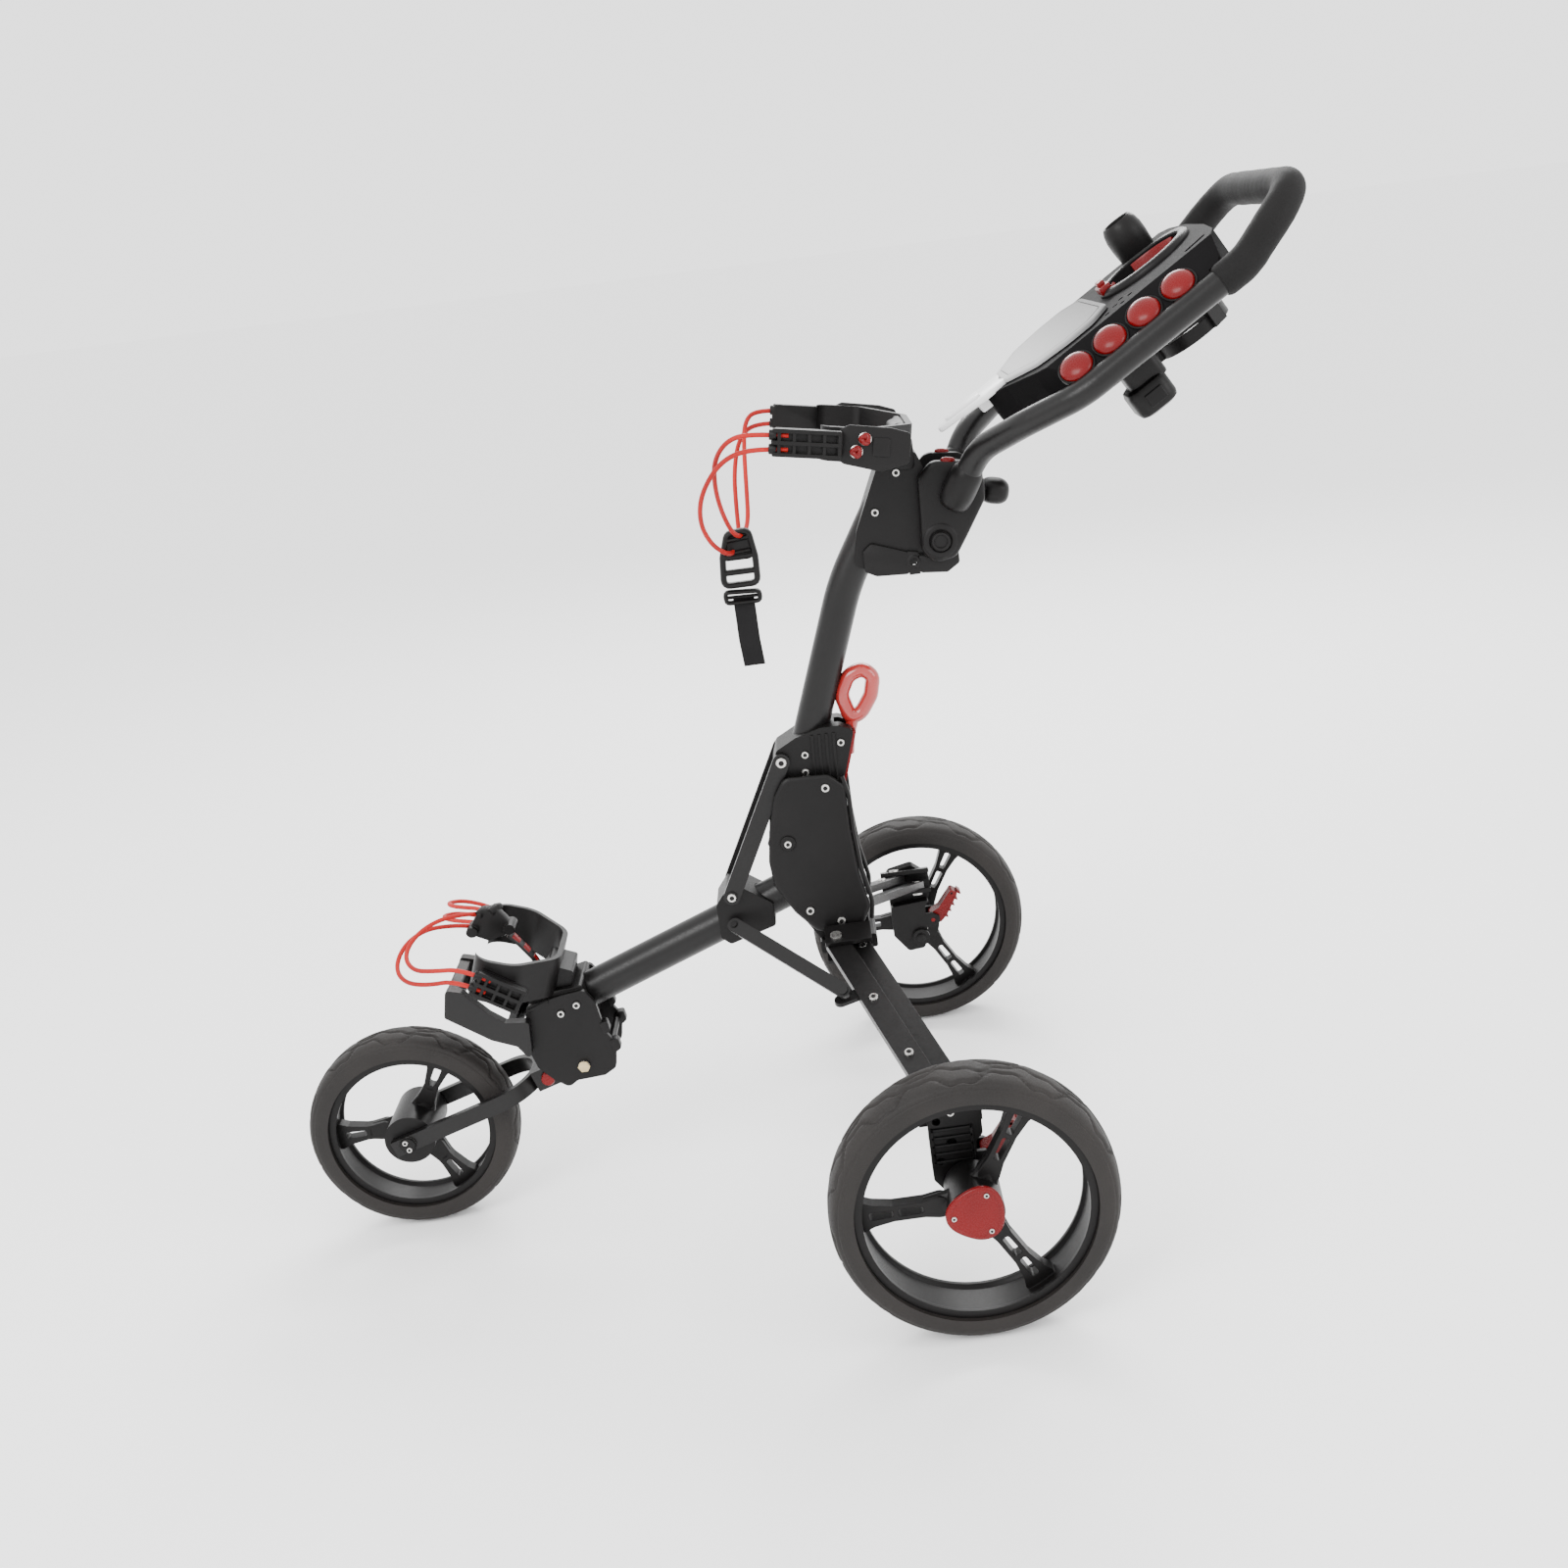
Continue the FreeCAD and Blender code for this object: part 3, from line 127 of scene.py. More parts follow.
def finish(name, colour, dark, rough, grain, relief, edge=0.0008, **settings):
    """colour and dark are mixed by clouds, rough is the (low, high) roughness, grain its scale."""
    material = bpy.data.materials.new(name)
    material.use_nodes = True
    nodes, links = material.node_tree.nodes, material.node_tree.links
    shader = nodes["Principled BSDF"]
    for socket, value in settings.items():
        shader.inputs[socket.replace("_", " ")].default_value = value
    place = nodes.new("ShaderNodeTexCoord")
    clouds = nodes.new("ShaderNodeTexNoise")
    clouds.inputs["Scale"].default_value = 14
    clouds.inputs["Detail"].default_value = 6
    links.new(place.outputs["Object"], clouds.inputs["Vector"])
    mix = nodes.new("ShaderNodeMix")
    mix.data_type = "RGBA"
    mix.inputs["A"].default_value = (*dark, 1)
    mix.inputs["B"].default_value = (*colour, 1)
    spread = ramp(nodes, 0, 1)
    links.new(clouds.outputs["Fac"], spread.inputs["Fac"])
    links.new(spread.outputs["Color"], mix.inputs["Factor"])
    links.new(mix.outputs["Result"], shader.inputs["Base Color"])
    speckle = nodes.new("ShaderNodeTexNoise")
    speckle.inputs["Scale"].default_value = grain
    speckle.inputs["Detail"].default_value = 3
    links.new(place.outputs["Object"], speckle.inputs["Vector"])
    shine = ramp(nodes, *rough)
    links.new(speckle.outputs["Fac"], shine.inputs["Fac"])
    links.new(shine.outputs["Color"], shader.inputs["Roughness"])
    bump = nodes.new("ShaderNodeBump")
    bump.inputs["Strength"].default_value = relief
    bump.inputs["Distance"].default_value = 0.0004
    links.new(speckle.outputs["Fac"], bump.inputs["Height"])
    links.new(bump.outputs["Normal"], shader.inputs["Normal"])
    if edge:
        soft = nodes.new("ShaderNodeBevel")
        soft.samples = 4
        soft.inputs["Radius"].default_value = edge
        links.new(soft.outputs["Normal"], bump.inputs["Normal"])
    finishes[name] = material
    return material

# %% [markdown]
# The cords are round elastic in a braided cover. A braid is two sets of strands that cross, so its
# relief is the product of two slanted waves along the cord. The waves need a direction along the
# cord, and a curve's own UV map gives it: U runs along its length and V around it.

# %% Braided cord
braid = finish("cord_red", (0.40, 0.0110, 0.0085), (0.27, 0.0060, 0.0050), (0.45, 0.62), 900, 0.15, edge=0,
               Specular_IOR_Level=0.2)


def braided(material, along, around):
    nodes, links = material.node_tree.nodes, material.node_tree.links
    shader, bump = nodes["Principled BSDF"], nodes["Bump"]
    place = nodes.new("ShaderNodeTexCoord")
    waves = []
    for slant in (1, -1):
        slanted = nodes.new("ShaderNodeMapping")
        slanted.inputs["Scale"].default_value = (along, around * slant, 1)
        links.new(place.outputs["UV"], slanted.inputs["Vector"])
        wave = nodes.new("ShaderNodeTexWave")
        wave.wave_type, wave.bands_direction = "BANDS", "DIAGONAL"
        wave.inputs["Scale"].default_value = 1
        links.new(slanted.outputs["Vector"], wave.inputs["Vector"])
        waves.append(wave.outputs["Fac"])
    cross = nodes.new("ShaderNodeMath")
    cross.operation = "MULTIPLY"
    links.new(waves[0], cross.inputs[0])
    links.new(waves[1], cross.inputs[1])
    links.new(cross.outputs[0], bump.inputs["Height"])
    bump.inputs["Strength"].default_value = 0.5
    bump.inputs["Distance"].default_value = 0.0006


braided(braid, 60, 3)
print("finish:", braid.name)

# %% [markdown]
# Each bungee leaves a hole in one tip block, hangs down through a buckle and goes back into the
# tip on the other side. A cord is a NURBS curve whose control points are its route, with a round
# bevel for its thickness. The order is set after the points are in, because a new spline has too
# few points for an order of three.

# %% Cords
cord_routes = {
    "upper_cord_outer": ("upper_frame", 0.460, [
        (0.0665, -0.1181, 0.8643), (0.033, -0.1181, 0.8702), (-0.0002, -0.11, 0.862),
        (-0.0262, -0.092, 0.83), (-0.0342, -0.072, 0.798), (-0.0282, -0.048, 0.77),
        (-0.0152, -0.024, 0.752), (-0.0062, 0.0, 0.748), (-0.0002, 0.024, 0.758), (-0.0002, 0.052, 0.788),
        (0.0018, 0.078, 0.824), (0.0118, 0.102, 0.858), (0.033, 0.1181, 0.8702), (0.0665, 0.1181, 0.8643)]),
    "upper_cord_inner": ("upper_frame", 0.442, [
        (0.069, -0.1181, 0.8781), (0.0355, -0.1181, 0.884), (0.0098, -0.114, 0.882),
        (-0.0082, -0.098, 0.862), (-0.0132, -0.076, 0.832), (-0.0112, -0.05, 0.8), (-0.0042, -0.024, 0.772),
        (0.0038, 0.0, 0.764), (0.0118, 0.024, 0.774), (0.0138, 0.052, 0.806), (0.0158, 0.078, 0.842),
        (0.0198, 0.104, 0.874), (0.0355, 0.1181, 0.884), (0.069, 0.1181, 0.8781)]),
    "lower_cord_outer": ("frame", 0.423, [
        (-0.3433, -0.0906, 0.3165), (-0.3715, -0.0906, 0.3355), (-0.4042, -0.09, 0.334),
        (-0.4302, -0.08, 0.336), (-0.4432, -0.06, 0.346), (-0.4362, -0.038, 0.362), (-0.4142, -0.02, 0.372),
        (-0.3842, -0.008, 0.368), (-0.3562, 0.006, 0.356), (-0.3582, 0.028, 0.351), (-0.3762, 0.042, 0.35),
        (-0.3942, 0.05, 0.35), (-0.4102, 0.062, 0.35), (-0.4152, 0.081, 0.347), (-0.4012, 0.096, 0.342),
        (-0.3715, 0.0906, 0.3355), (-0.3433, 0.0906, 0.3165)]),
    "lower_cord_inner": ("frame", 0.411, [
        (-0.335, -0.0906, 0.3289), (-0.3631, -0.0906, 0.3479), (-0.3942, -0.091, 0.35),
        (-0.4182, -0.082, 0.35), (-0.4302, -0.062, 0.36), (-0.4202, -0.042, 0.374),
        (-0.3962, -0.028, 0.384), (-0.3682, -0.014, 0.382), (-0.3482, 0.004, 0.372),
        (-0.3512, 0.026, 0.367), (-0.3682, 0.042, 0.366), (-0.3852, 0.05, 0.366), (-0.4012, 0.061, 0.366),
        (-0.4062, 0.08, 0.363), (-0.3912, 0.095, 0.357), (-0.3631, 0.0906, 0.3479), (-0.335, 0.0906, 0.3289)]),
}
cord_thick = 0.005


def cord_curve(name, body, route):
    curve = bpy.data.curves.new(name, "CURVE")
    curve.dimensions = "3D"
    curve.resolution_u = 12
    curve.bevel_depth = cord_thick / 2
    curve.bevel_resolution = 4
    curve.use_fill_caps = True
    spline = curve.splines.new("NURBS")
    spline.points.add(len(route) - 1)
    for point, place in zip(spline.points, route):
        point.co = (*place, 1)
    spline.order_u = 3
    spline.use_endpoint_u = True
    cord = bpy.data.objects.new(name, curve)
    bpy.context.collection.objects.link(cord)
    curve.materials.append(finishes["cord_red"])
    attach(cord, body)
    return cord


cords = {}
for name, (body, length, route) in cord_routes.items():
    cords[name] = cord_curve(name + "_braid", body, route)
    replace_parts(cords[name], name)
    print(f"{name}: {length * 1000:.0f} mm")

# %% [markdown]
# Now the finishes for the hard parts. The frame is powder coated, which has a soft orange-peel
# relief and a satin shine. Moulded plastics have a finer, even grain and are duller. Foam is duller
# still and has open cells that show as small dark pits.

# %% Finishes of the hard parts
matt = {"Specular_IOR_Level": 0.17}
finish("powder_coat", (0.0048, 0.0044, 0.0044), (0.0034, 0.0031, 0.0031), (0.28, 0.40), 420, 0.18,
       Specular_IOR_Level=0.24)
finish("black_plastic", (0.0046, 0.0041, 0.0041), (0.0030, 0.0027, 0.0027), (0.34, 0.48), 900, 0.22, 0.0014,
       **matt)
finish("dark_grey_plastic", (0.0060, 0.0057, 0.0060), (0.0042, 0.0040, 0.0042), (0.55, 0.7), 800, 0.2, 0.0012,
       Specular_IOR_Level=0.03)
finish("silver_plastic", (0.34, 0.345, 0.36), (0.27, 0.275, 0.285), (0.42, 0.52), 500, 0.05,
       Specular_IOR_Level=0.06)
finish("pale_plastic", (0.80, 0.80, 0.80), (0.72, 0.72, 0.72), (0.32, 0.42), 600, 0.08)
finish("red_plastic", (0.135, 0.0016, 0.0026), (0.105, 0.0012, 0.0019), (0.22, 0.32), 600, 0.06,
       Specular_IOR_Level=0.22)
finish("gloss_red", (0.33, 0.024, 0.020), (0.27, 0.016, 0.014), (0.14, 0.2), 200, 0.03, Coat_Weight=0.4)
finish("tyre_foam", (0.0105, 0.0084, 0.0074), (0.0066, 0.0053, 0.0047), (0.55, 0.75), 1100, 0.4, edge=0,
       Specular_IOR_Level=0.3)
finish("grip_foam", (0.0056, 0.0052, 0.0052), (0.0034, 0.0031, 0.0031), (0.62, 0.8), 1300, 0.6, edge=0, **matt)
finish("steel", (0.62, 0.61, 0.59), (0.50, 0.49, 0.47), (0.24, 0.36), 300, 0.08, edge=0.0003,
       Metallic=1.0)
finish("brass", (0.60, 0.50, 0.30), (0.50, 0.40, 0.22), (0.28, 0.4), 300, 0.08, edge=0.0003, Metallic=1.0)
finish("webbing", (0.0060, 0.0056, 0.0060), (0.0040, 0.0037, 0.0040), (0.7, 0.85), 1500, 0.5, edge=0, **matt)
print(len(finishes), "finishes")

# %% [markdown]
# Every piece of the frame has a finish from its maker: powder coat on the tubes, plastic on the
# mouldings, steel on the screws. The frame's record names it for each node, so one loop dresses
# them all. Setting each by hand would be longer and easier to get wrong.

# %% Give every node its finish
for part in frame["record"]["subparts"]:
    node = frame["nodes"][part["node"]]
    for holder in node.material_slots:
        holder.material = finishes[part["material_slot"]]

# %% [markdown]
# Everything below is built from a few shapes that a moulder or a turner would know. A moulded part
# has no sharp corners, so the first helper puts an arc at each corner of a short list of points.
# The list stays easy to read, and one radius serves the whole outline.

# %% Round corners
def rounded(points, corner, steps=5):
    """A closed outline with arcs at its corners."""
    out = []
    for i, here in enumerate(points):
        here, back, on = Vector(here), Vector(points[i - 1]), Vector(points[(i + 1) % len(points)])
        a, b = back - here, on - here
        half = (pi - a.angle(b)) / 2
        if half < 0.01:
            out.append(here)
            continue
        radius = min(corner, 0.45 * min(a.length, b.length) / tan(half))
        middle = here + (a.normalized() + b.normalized()).normalized() * (radius / cos(half))
        start = here + a.normalized() * radius * tan(half) - middle
        end = here + b.normalized() * radius * tan(half) - middle
        turn = start.angle_signed(end)
        for k in range(steps + 1):
            t = -turn * k / steps
            out.append(middle + Vector((start.x * cos(t) - start.y * sin(t),
                                        start.x * sin(t) + start.y * cos(t))))
    return out


def circle(radius, steps):
    """Points on a circle, from its x axis round."""
    angles = [2 * pi * i / steps for i in range(steps)]
    return [(radius * cos(t), radius * sin(t)) for t in angles]


plate = rounded([(0, 0), (10, 0), (10, 10), (0, 10)], 3)
print("a square plate with round corners has", len(plate), "points")

# %% [markdown]
# A surface is made by joining rings of points, the way a basket is woven from its hoops. Stacked
# outlines give a plate or a crowned lid, and circles give a turned part. Modifiers could soften the
# edges as well, but rings put the softening just where it is wanted. Each shape takes a `place`
# function, which turns its own axes into the cart's, so one recipe serves a wheel and a console.

# %% Skins, plates and turned parts
def skin(shape, rings, close=False, caps=True):
    """Joins rings of places, each with as many points, into one surface."""
    rows = [[shape.verts.new(spot) for spot in ring] for ring in rings]
    count = len(rows[0])
    pairs = list(zip(rows, rows[1:] + rows[:1])) if close else list(zip(rows, rows[1:]))
    made = []
    for one, two in pairs:
        made += [shape.faces.new((one[i], one[(i + 1) % count], two[(i + 1) % count], two[i]))
                 for i in range(count)]
    if caps and not close:
        made += [shape.faces.new(list(reversed(rows[0]))), shape.faces.new(rows[-1])]
    return made


def crowned(shape, place, points, levels, corner):
    """Rings of one outline, each at its own height and at its own scale about the middle."""
    flat = rounded(points, corner)
    middle = sum(flat, Vector((0, 0))) / len(flat)
    return skin(shape, [[place(*(middle + (p - middle) * s), z) for p in flat] for z, s in levels])


def slab(shape, place, points, low, high, corner=3.0, soft=1.2):
    """An outline with a thickness and softened edges."""
    flat = rounded(points, corner)
    middle = sum(flat, Vector((0, 0))) / len(flat)
    inset = soft / max((p - middle).length for p in flat)
    levels = [(low, 1 - inset), (low + soft * 0.3, 1 - inset * 0.3), (low + soft, 1)]
    levels += [(high - soft, 1), (high - soft * 0.3, 1 - inset * 0.3), (high, 1 - inset)]
    return crowned(shape, place, points, levels, corner)


def turned(shape, place, profile, steps=48, hollow=False):
    """A profile of (radius, height) turned about the z of place. A hollow one is closed on itself."""
    rings = [[place(x, y, z) for x, y in circle(r, steps)] for r, z in profile]
    return skin(shape, rings, close=hollow)


print("plates, lids and turned parts can be made")

# %% [markdown]
# Tubes, sleeves and rings are a section drawn along a path. A curve with a bevel would do the same,
# but it can't change its size on the way, and foam and moulded necks do. The path is a few corner
# points with a bend radius, as a tube bender would be told, and it is cut into short even steps.

# %% Paths and drawn sections
def spaced(points, bend, step=4.0, loop=False):
    """Points along straight runs with arcs at the corners."""
    points = [Vector(p) for p in points]
    out = [] if loop else [points[0]]
    numbers = range(len(points)) if loop else range(1, len(points) - 1)
    for i in numbers:
        here, back, on = points[i], points[i - 1], points[(i + 1) % len(points)]
        a, b = back - here, on - here
        half = (pi - a.angle(b)) / 2
        radius = min(bend, 0.45 * min(a.length, b.length) / tan(half))
        first = here + a.normalized() * radius * tan(half)
        last = here + b.normalized() * radius * tan(half)
        count = max(3, int(radius * 2 * half / step))
        for k in range(count + 1):
            t = k / count
            out.append(first * (1 - t) ** 2 + here * 2 * t * (1 - t) + last * t**2)
    if not loop:
        out.append(points[-1])
    full = []
    for one, two in zip(out, out[1:] + (out[:1] if loop else [])):
        count = max(1, int((two - one).length / step))
        full += [one.lerp(two, k / count) for k in range(count)]
    return full if loop else full + [out[-1]]


def drawn(shape, path, wide, thick, across, loop=False, steps=16, grow=None):
    """An oval section drawn along a path in mm, `wide` along the direction `across`."""
    path = [Vector(p) for p in path]
    rings, count = [], len(path)
    for i, here in enumerate(path):
        on = path[(i + 1) % count] if loop or i + 1 < count else here
        back = path[i - 1] if loop or i else here
        way = (on - back).normalized()
        side = (Vector(across) - way * way.dot(Vector(across))).normalized()
        other = way.cross(side)
        size = grow(i / max(1, count - 1)) if grow else 1
        rings.append([at(*(here + side * wide * x + other * thick * y)) for x, y in circle(size, steps)])
    return skin(shape, rings, close=loop)


print("a right angle with a 20 mm bend has", len(spaced([(0, 0, 0), (50, 0, 0), (50, 50, 0)], 20)), "points")

# %% [markdown]
# Each made shape becomes a piece: it gets its mesh, its finish and the body it rides on. Edges
# sharper than 42 degrees stay crisp, and all the others are shaded smooth.
# Three small functions give the usual places: a side outline, a round thing on a side face, and
# free axes for parts that slope.

# %% Pieces and places
def piece(name, body, slot, shape, *looks):
    """Makes a finished piece of a shape. The first look is its finish, the others serve painted faces."""
    bmesh.ops.recalc_face_normals(shape, faces=shape.faces)
    mesh = bpy.data.meshes.new(name)
    shape.to_mesh(mesh)
    shape.free()
    mesh.shade_smooth()
    mesh.set_sharp_from_angle(angle=radians(42))
    for look in looks or (slot,):
        mesh.materials.append(finishes[look])
    made = bpy.data.objects.new(name, mesh)
    bpy.context.collection.objects.link(made)
    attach(made, body)
    return made


def sideways(sign):
    """Axes of a side outline: the cart's x and z, then the distance out from its middle plane."""
    return lambda x, z, y: at(x, sign * y, z)


side_plane = sideways(1)


def facing(x, z, face):
    """Axes for a round thing on a side face: z comes out of the face."""
    out = -1 if face < 0 else 1
    return lambda a, b, c: at(x + a, face + out * c, z + b)


def axes(origin, way, up):
    """Axes from an origin, with x along one direction, z along another and y between them."""
    origin, way, up = Vector(origin), Vector(way).normalized(), Vector(up).normalized()
    across = up.cross(way)
    return lambda a, b, c: at(*(origin + way * a + across * b + up * c))


sides = (("left", -1), ("right", 1))

# %% [markdown]
# The tyres are solid foam with a rounded section, and wavy grooves run round the tread. The section
# is a squared-off oval. Each groove is a narrow dip whose place across the tread swings from side to
# side on its way round. It could be a texture, but real dips also show in the tyre's outline.

# %% Tyres
wall_depth, seat_gap = 25.0, 5.0
tread_lanes = ((-0.52, 0.26, 0.0), (0.0, 0.2, 1.4), (0.52, 0.26, 2.8))


def groove(part, line, deep, wide):
    """The depth of a groove with soft sides. Places are parts of the half width."""
    return deep * exp(-(((part - line) / wide) ** 2))


def tread_dip(part, angle):
    """How far the tread lies below its round at one place."""
    dips = [groove(part, -0.93, 1.2, 0.02), groove(part, 0.93, 1.2, 0.02)]
    for lane, swing, phase in tread_lanes:
        line = lane + swing * sin(11 * angle + phase) + 0.08 * sin(33 * angle + phase)
        dips.append(groove(part, line, 2.3, 0.06))
    return max(dips)


def tyre(name, body, centre, radius, width):
    shape = bmesh.new()
    around, across, half = 264, 64, width / 2
    seat, rings = radius - wall_depth, []
    for i in range(around):
        angle = 2 * pi * i / around
        ring = [(seat, -half + seat_gap)]
        for k in range(across + 1):
            phi = pi * (k / across - 0.5)
            y = half * abs(sin(phi)) ** 0.85 * (1 if phi > 0 else -1)
            r = seat + wall_depth * abs(cos(phi)) ** 0.42
            ring.append((r - tread_dip(y / half, angle), y))
        ring.append((seat, half - seat_gap))
        rings.append([at(centre[0] + r * cos(angle), centre[1] + y, centre[2] + r * sin(angle))
                      for r, y in ring])
    skin(shape, rings, close=True)
    made = piece(name + "_tread", body, "tyre_foam", shape)
    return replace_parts(made, name)


rear_r, rear_y, front_x, front_r = 145.0, 357.0, -629.0, 121.6
for side, sign in sides:
    tyre(side + "_tyre", side + "_wheel", (0, sign * rear_y, rear_r), rear_r, 59)
tyre("front_tyre", "front_wheel", (front_x, 0, front_r), front_r, 51)
print("tyres:", rear_r * 2, "and", front_r * 2, "mm across")

# %% [markdown]
# Screws on the cart are steel buttons with a six-sided hole, which looks dark from the shade in it. A
# flat disc would do from afar, but a real dip in the middle catches the light as a bright ring, which
# is what the eye reads as a fastener. The faces of the hole get a dark finish, which is painted shade.

# %% Screw heads
def screw_head(shape, place, radius, high):
    """A steel button with a six-sided hole. Faces of the hole get the second look, as painted shade."""
    button = [(radius * 0.98, 0), (radius, high * 0.55), (radius * 0.86, high), (radius * 0.52, high)]
    skin(shape, [[place(x, y, z) for x, y in circle(r, 24)] for r, z in button], caps=False)
    hole = [(radius * 0.56, high + 0.02), (radius * 0.5, high * 0.35)]
    # The hole's faces take the dark second look, which is painted shade inside the steel socket.
    for face in turned(shape, place, hole, 6):
        face.material_index = 1


def screw_row(name, body, spots):
    """Screws on both side faces, from (x, z, face, radius)."""
    shape = bmesh.new()
    for x, z, face, radius in spots:
        for sign in (-1, 1):
            screw_head(shape, facing(x, z, sign * face), radius, 2.2)
    return piece(name, body, "steel", shape, "steel", "black_plastic")


print("screws can be made")

# %% [markdown]
# A red cap closes each rear hub. It is a disc that has grown slightly towards three corners, and a
# small screw sits in each corner. A radius that swings three times round a circle gives that shape
# with no corner to round off. The cap is left plain.

# %% Hub caps
cap_levels = [(1, 0), (1, 2.2), (0.97, 3.4), (0.9, 4.2), (0.84, 4.3), (0.82, 3.8), (0.6, 4.3), (0.02, 4.9)]
cap_outline = [Vector((x, z)) * (29.0 + 2.0 * cos(3 * atan2(z, x) + pi)) for x, z in circle(1, 96)]
for side, sign in sides:
    shape = bmesh.new()
    place = facing(0, rear_r, sign * (rear_y + 25.0))
    skin(shape, [[place(*(spot * scale), high) for spot in cap_outline] for scale, high in cap_levels])
    cap = piece(side + "_cap", side + "_wheel", "red_plastic", shape)
    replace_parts(cap, side + "_hub_cap")
    shape = bmesh.new()
    for angle in (62, 182, 302):
        x, z = 23 * cos(radians(angle)), 23 * sin(radians(angle))
        screw_head(shape, facing(x, rear_r + z, sign * (rear_y + 29.0)), 2.8, 1.4)
    piece(side + "_cap_screws", side + "_wheel", "steel", shape, "steel", "black_plastic")
print("hub caps with", 3 * len(sides), "screws")

# %% [markdown]
# Each wheel has three cast spokes, which grow thick where they run into the hub. The frame has the
# plain spokes. Their thick roots are short oval sections that shrink on the way out, laid over them.

# %% Spoke roots
def root_size(t):
    return 1 - 0.46 * t**0.7


hub_r = 28
wheels = (("left_wheel", 0, -rear_y, rear_r), ("right_wheel", 0, rear_y, rear_r),
          ("front_wheel", front_x, 0, front_r))
for body, x, y, z in wheels:
    shape = bmesh.new()
    for angle in (180, 60, -60):
        out = Vector((cos(radians(angle)), 0, sin(radians(angle))))
        run = [Vector((x, y, z)) + out * (hub_r - 8 + 5 * k) for k in range(7)]
        drawn(shape, run, 9.6, 17, (0, 1, 0), steps=20, grow=root_size)
    piece(body + "_spoke_roots", body, "black_plastic", shape)
print("spoke roots on", len(wheels), "wheels")

# %% [markdown]
# The fork's arms end in round caps at the front axle, with two screws in each. They are turned
# shapes, since a turner would make them so.

# %% Fork ends
shape, screws = bmesh.new(), bmesh.new()
for sign in (-1, 1):
    turned(shape, facing(front_x, front_r, sign * 48.0), [(0.1, 0), (9.4, 0), (9.6, 3), (8.6, 4.4), (0.1, 4.7)])
    for x, z in ((-1.6, 4.6), (1.6, -4.6)):
        screw_head(screws, facing(front_x + x, front_r + z, sign * 52.6), 3.3, 1.4)
piece("fork_end_caps", "fork", "black_plastic", shape)
piece("fork_end_screws", "fork", "steel", screws, "steel", "black_plastic")
print("fork ends")

# %% [markdown]
# The handle folds on one pin, and the console, the grip and the clamp all slope with it. So they
# share one set of axes, which starts at the console's low end and runs up its slope. The handle's
# tube is one loop with two legs, and its centreline is given as the bender's corner points.

# %% Handle line
slope = radians(32)
console_at, console_way = Vector((150, 0, 866)), Vector((cos(slope), 0, sin(slope)))
console_up = Vector((-sin(slope), 0, cos(slope)))
console = axes(console_at, console_way, console_up)
half_handle = [(84, -50, 788), (108, -72, 834), (152, -122, 861), (206, -155, 886), (372, -155, 990),
               (430, -132, 1055)]
handle_line = spaced(half_handle + [(x, -y, z) for x, y, z in reversed(half_handle)], 68, 2.5)
grip_line = [p for p in handle_line if (p - console_at).dot(console_way) > 223]
print(f"handle line of {len(handle_line)} steps, {len(grip_line)} of them in the grip")

# %% [markdown]
# The grip is one sleeve of dark foam drawn over the handle's loop. It is a section drawn along the
# loop's own centreline, a little fatter in the middle of each run. Foam sleeves are butted at the
# middle of the loop, which leaves a narrow ring there, and their ends are rounded over.

# %% Foam grip
def grip_size(t):
    end = min(t, 1 - t)
    size = 1 + 0.018 * sin(9 * pi * t) ** 2 + 0.006 * sin(71 * t) * sin(113 * t)
    if end < 0.012:
        size *= 0.86 + 0.14 * sqrt(end / 0.012)
    return size - groove(t, 0.5, 0.05, 0.0022)


shape = bmesh.new()
drawn(shape, grip_line, 17, 17, (0.1, 0.05, 1), steps=28, grow=grip_size)
grip = piece("foam_sleeve", "handle", "grip_foam", shape)
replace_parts(grip, "handle_grip")
print(f"grip of {len(grip_line)} rings")

# %% [markdown]
# The console's lid is plastic that runs from pale silver at its low end to dark grey at the ring. A
# print or a paint could do that. Here a ramp along the cart does it, because the change has no edge.
# A thin line runs round the lid, inside its edge, and its middle is slightly crowned to shed rain.

# %% Console lid
def faded(material, start, end, near, far):
    """Lets a finish go from one grey to another along the cart."""
    nodes, links = material.node_tree.nodes, material.node_tree.links
    place, split = nodes.new("ShaderNodeTexCoord"), nodes.new("ShaderNodeSeparateXYZ")
    reach, shade = nodes.new("ShaderNodeMapRange"), ramp(nodes, near, far, 0, 1)
    reach.inputs["From Min"].default_value, reach.inputs["From Max"].default_value = start, end
    links.new(place.outputs["Object"], split.inputs[0])
    links.new(split.outputs["X"], reach.inputs["Value"])
    links.new(reach.outputs["Result"], shade.inputs["Fac"])
    links.new(shade.outputs["Color"], nodes["Principled BSDF"].inputs["Base Color"])


half_lid = [(12, -34), (44, -84), (80, -98), (112, -98), (136, -72)]
lid_outline = half_lid + [(x, -y) for x, y in reversed(half_lid)]
lid_levels = [(24.4, 0.985), (25, 1), (28, 1), (29.2, 0.985), (29.6, 0.93), (29.6, 0.905), (28.4, 0.9),
              (28.4, 0.892), (29.7, 0.887), (30.6, 0.8), (31.4, 0.4), (31.5, 0.02)]
faded(finishes["silver_plastic"], console(10, 0, 0).x, console(136, 0, 0).x, 0.46, 0.030)
shape = bmesh.new()
crowned(shape, console, lid_outline, lid_levels, 14)
lid = piece("lid_shell", "scorecard_lid", "silver_plastic", shape)
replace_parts(lid, "scorecard_lid")
print("lid with", len(lid_levels), "rings")

# %% [markdown]
# A small red catch stands between the lid and the ring, and a light clip at the low end holds the
# scorecard. Both are flat mouldings, so each is a few plates on top of one another. The catch is
# fixed to the console and stays there when the lid opens.

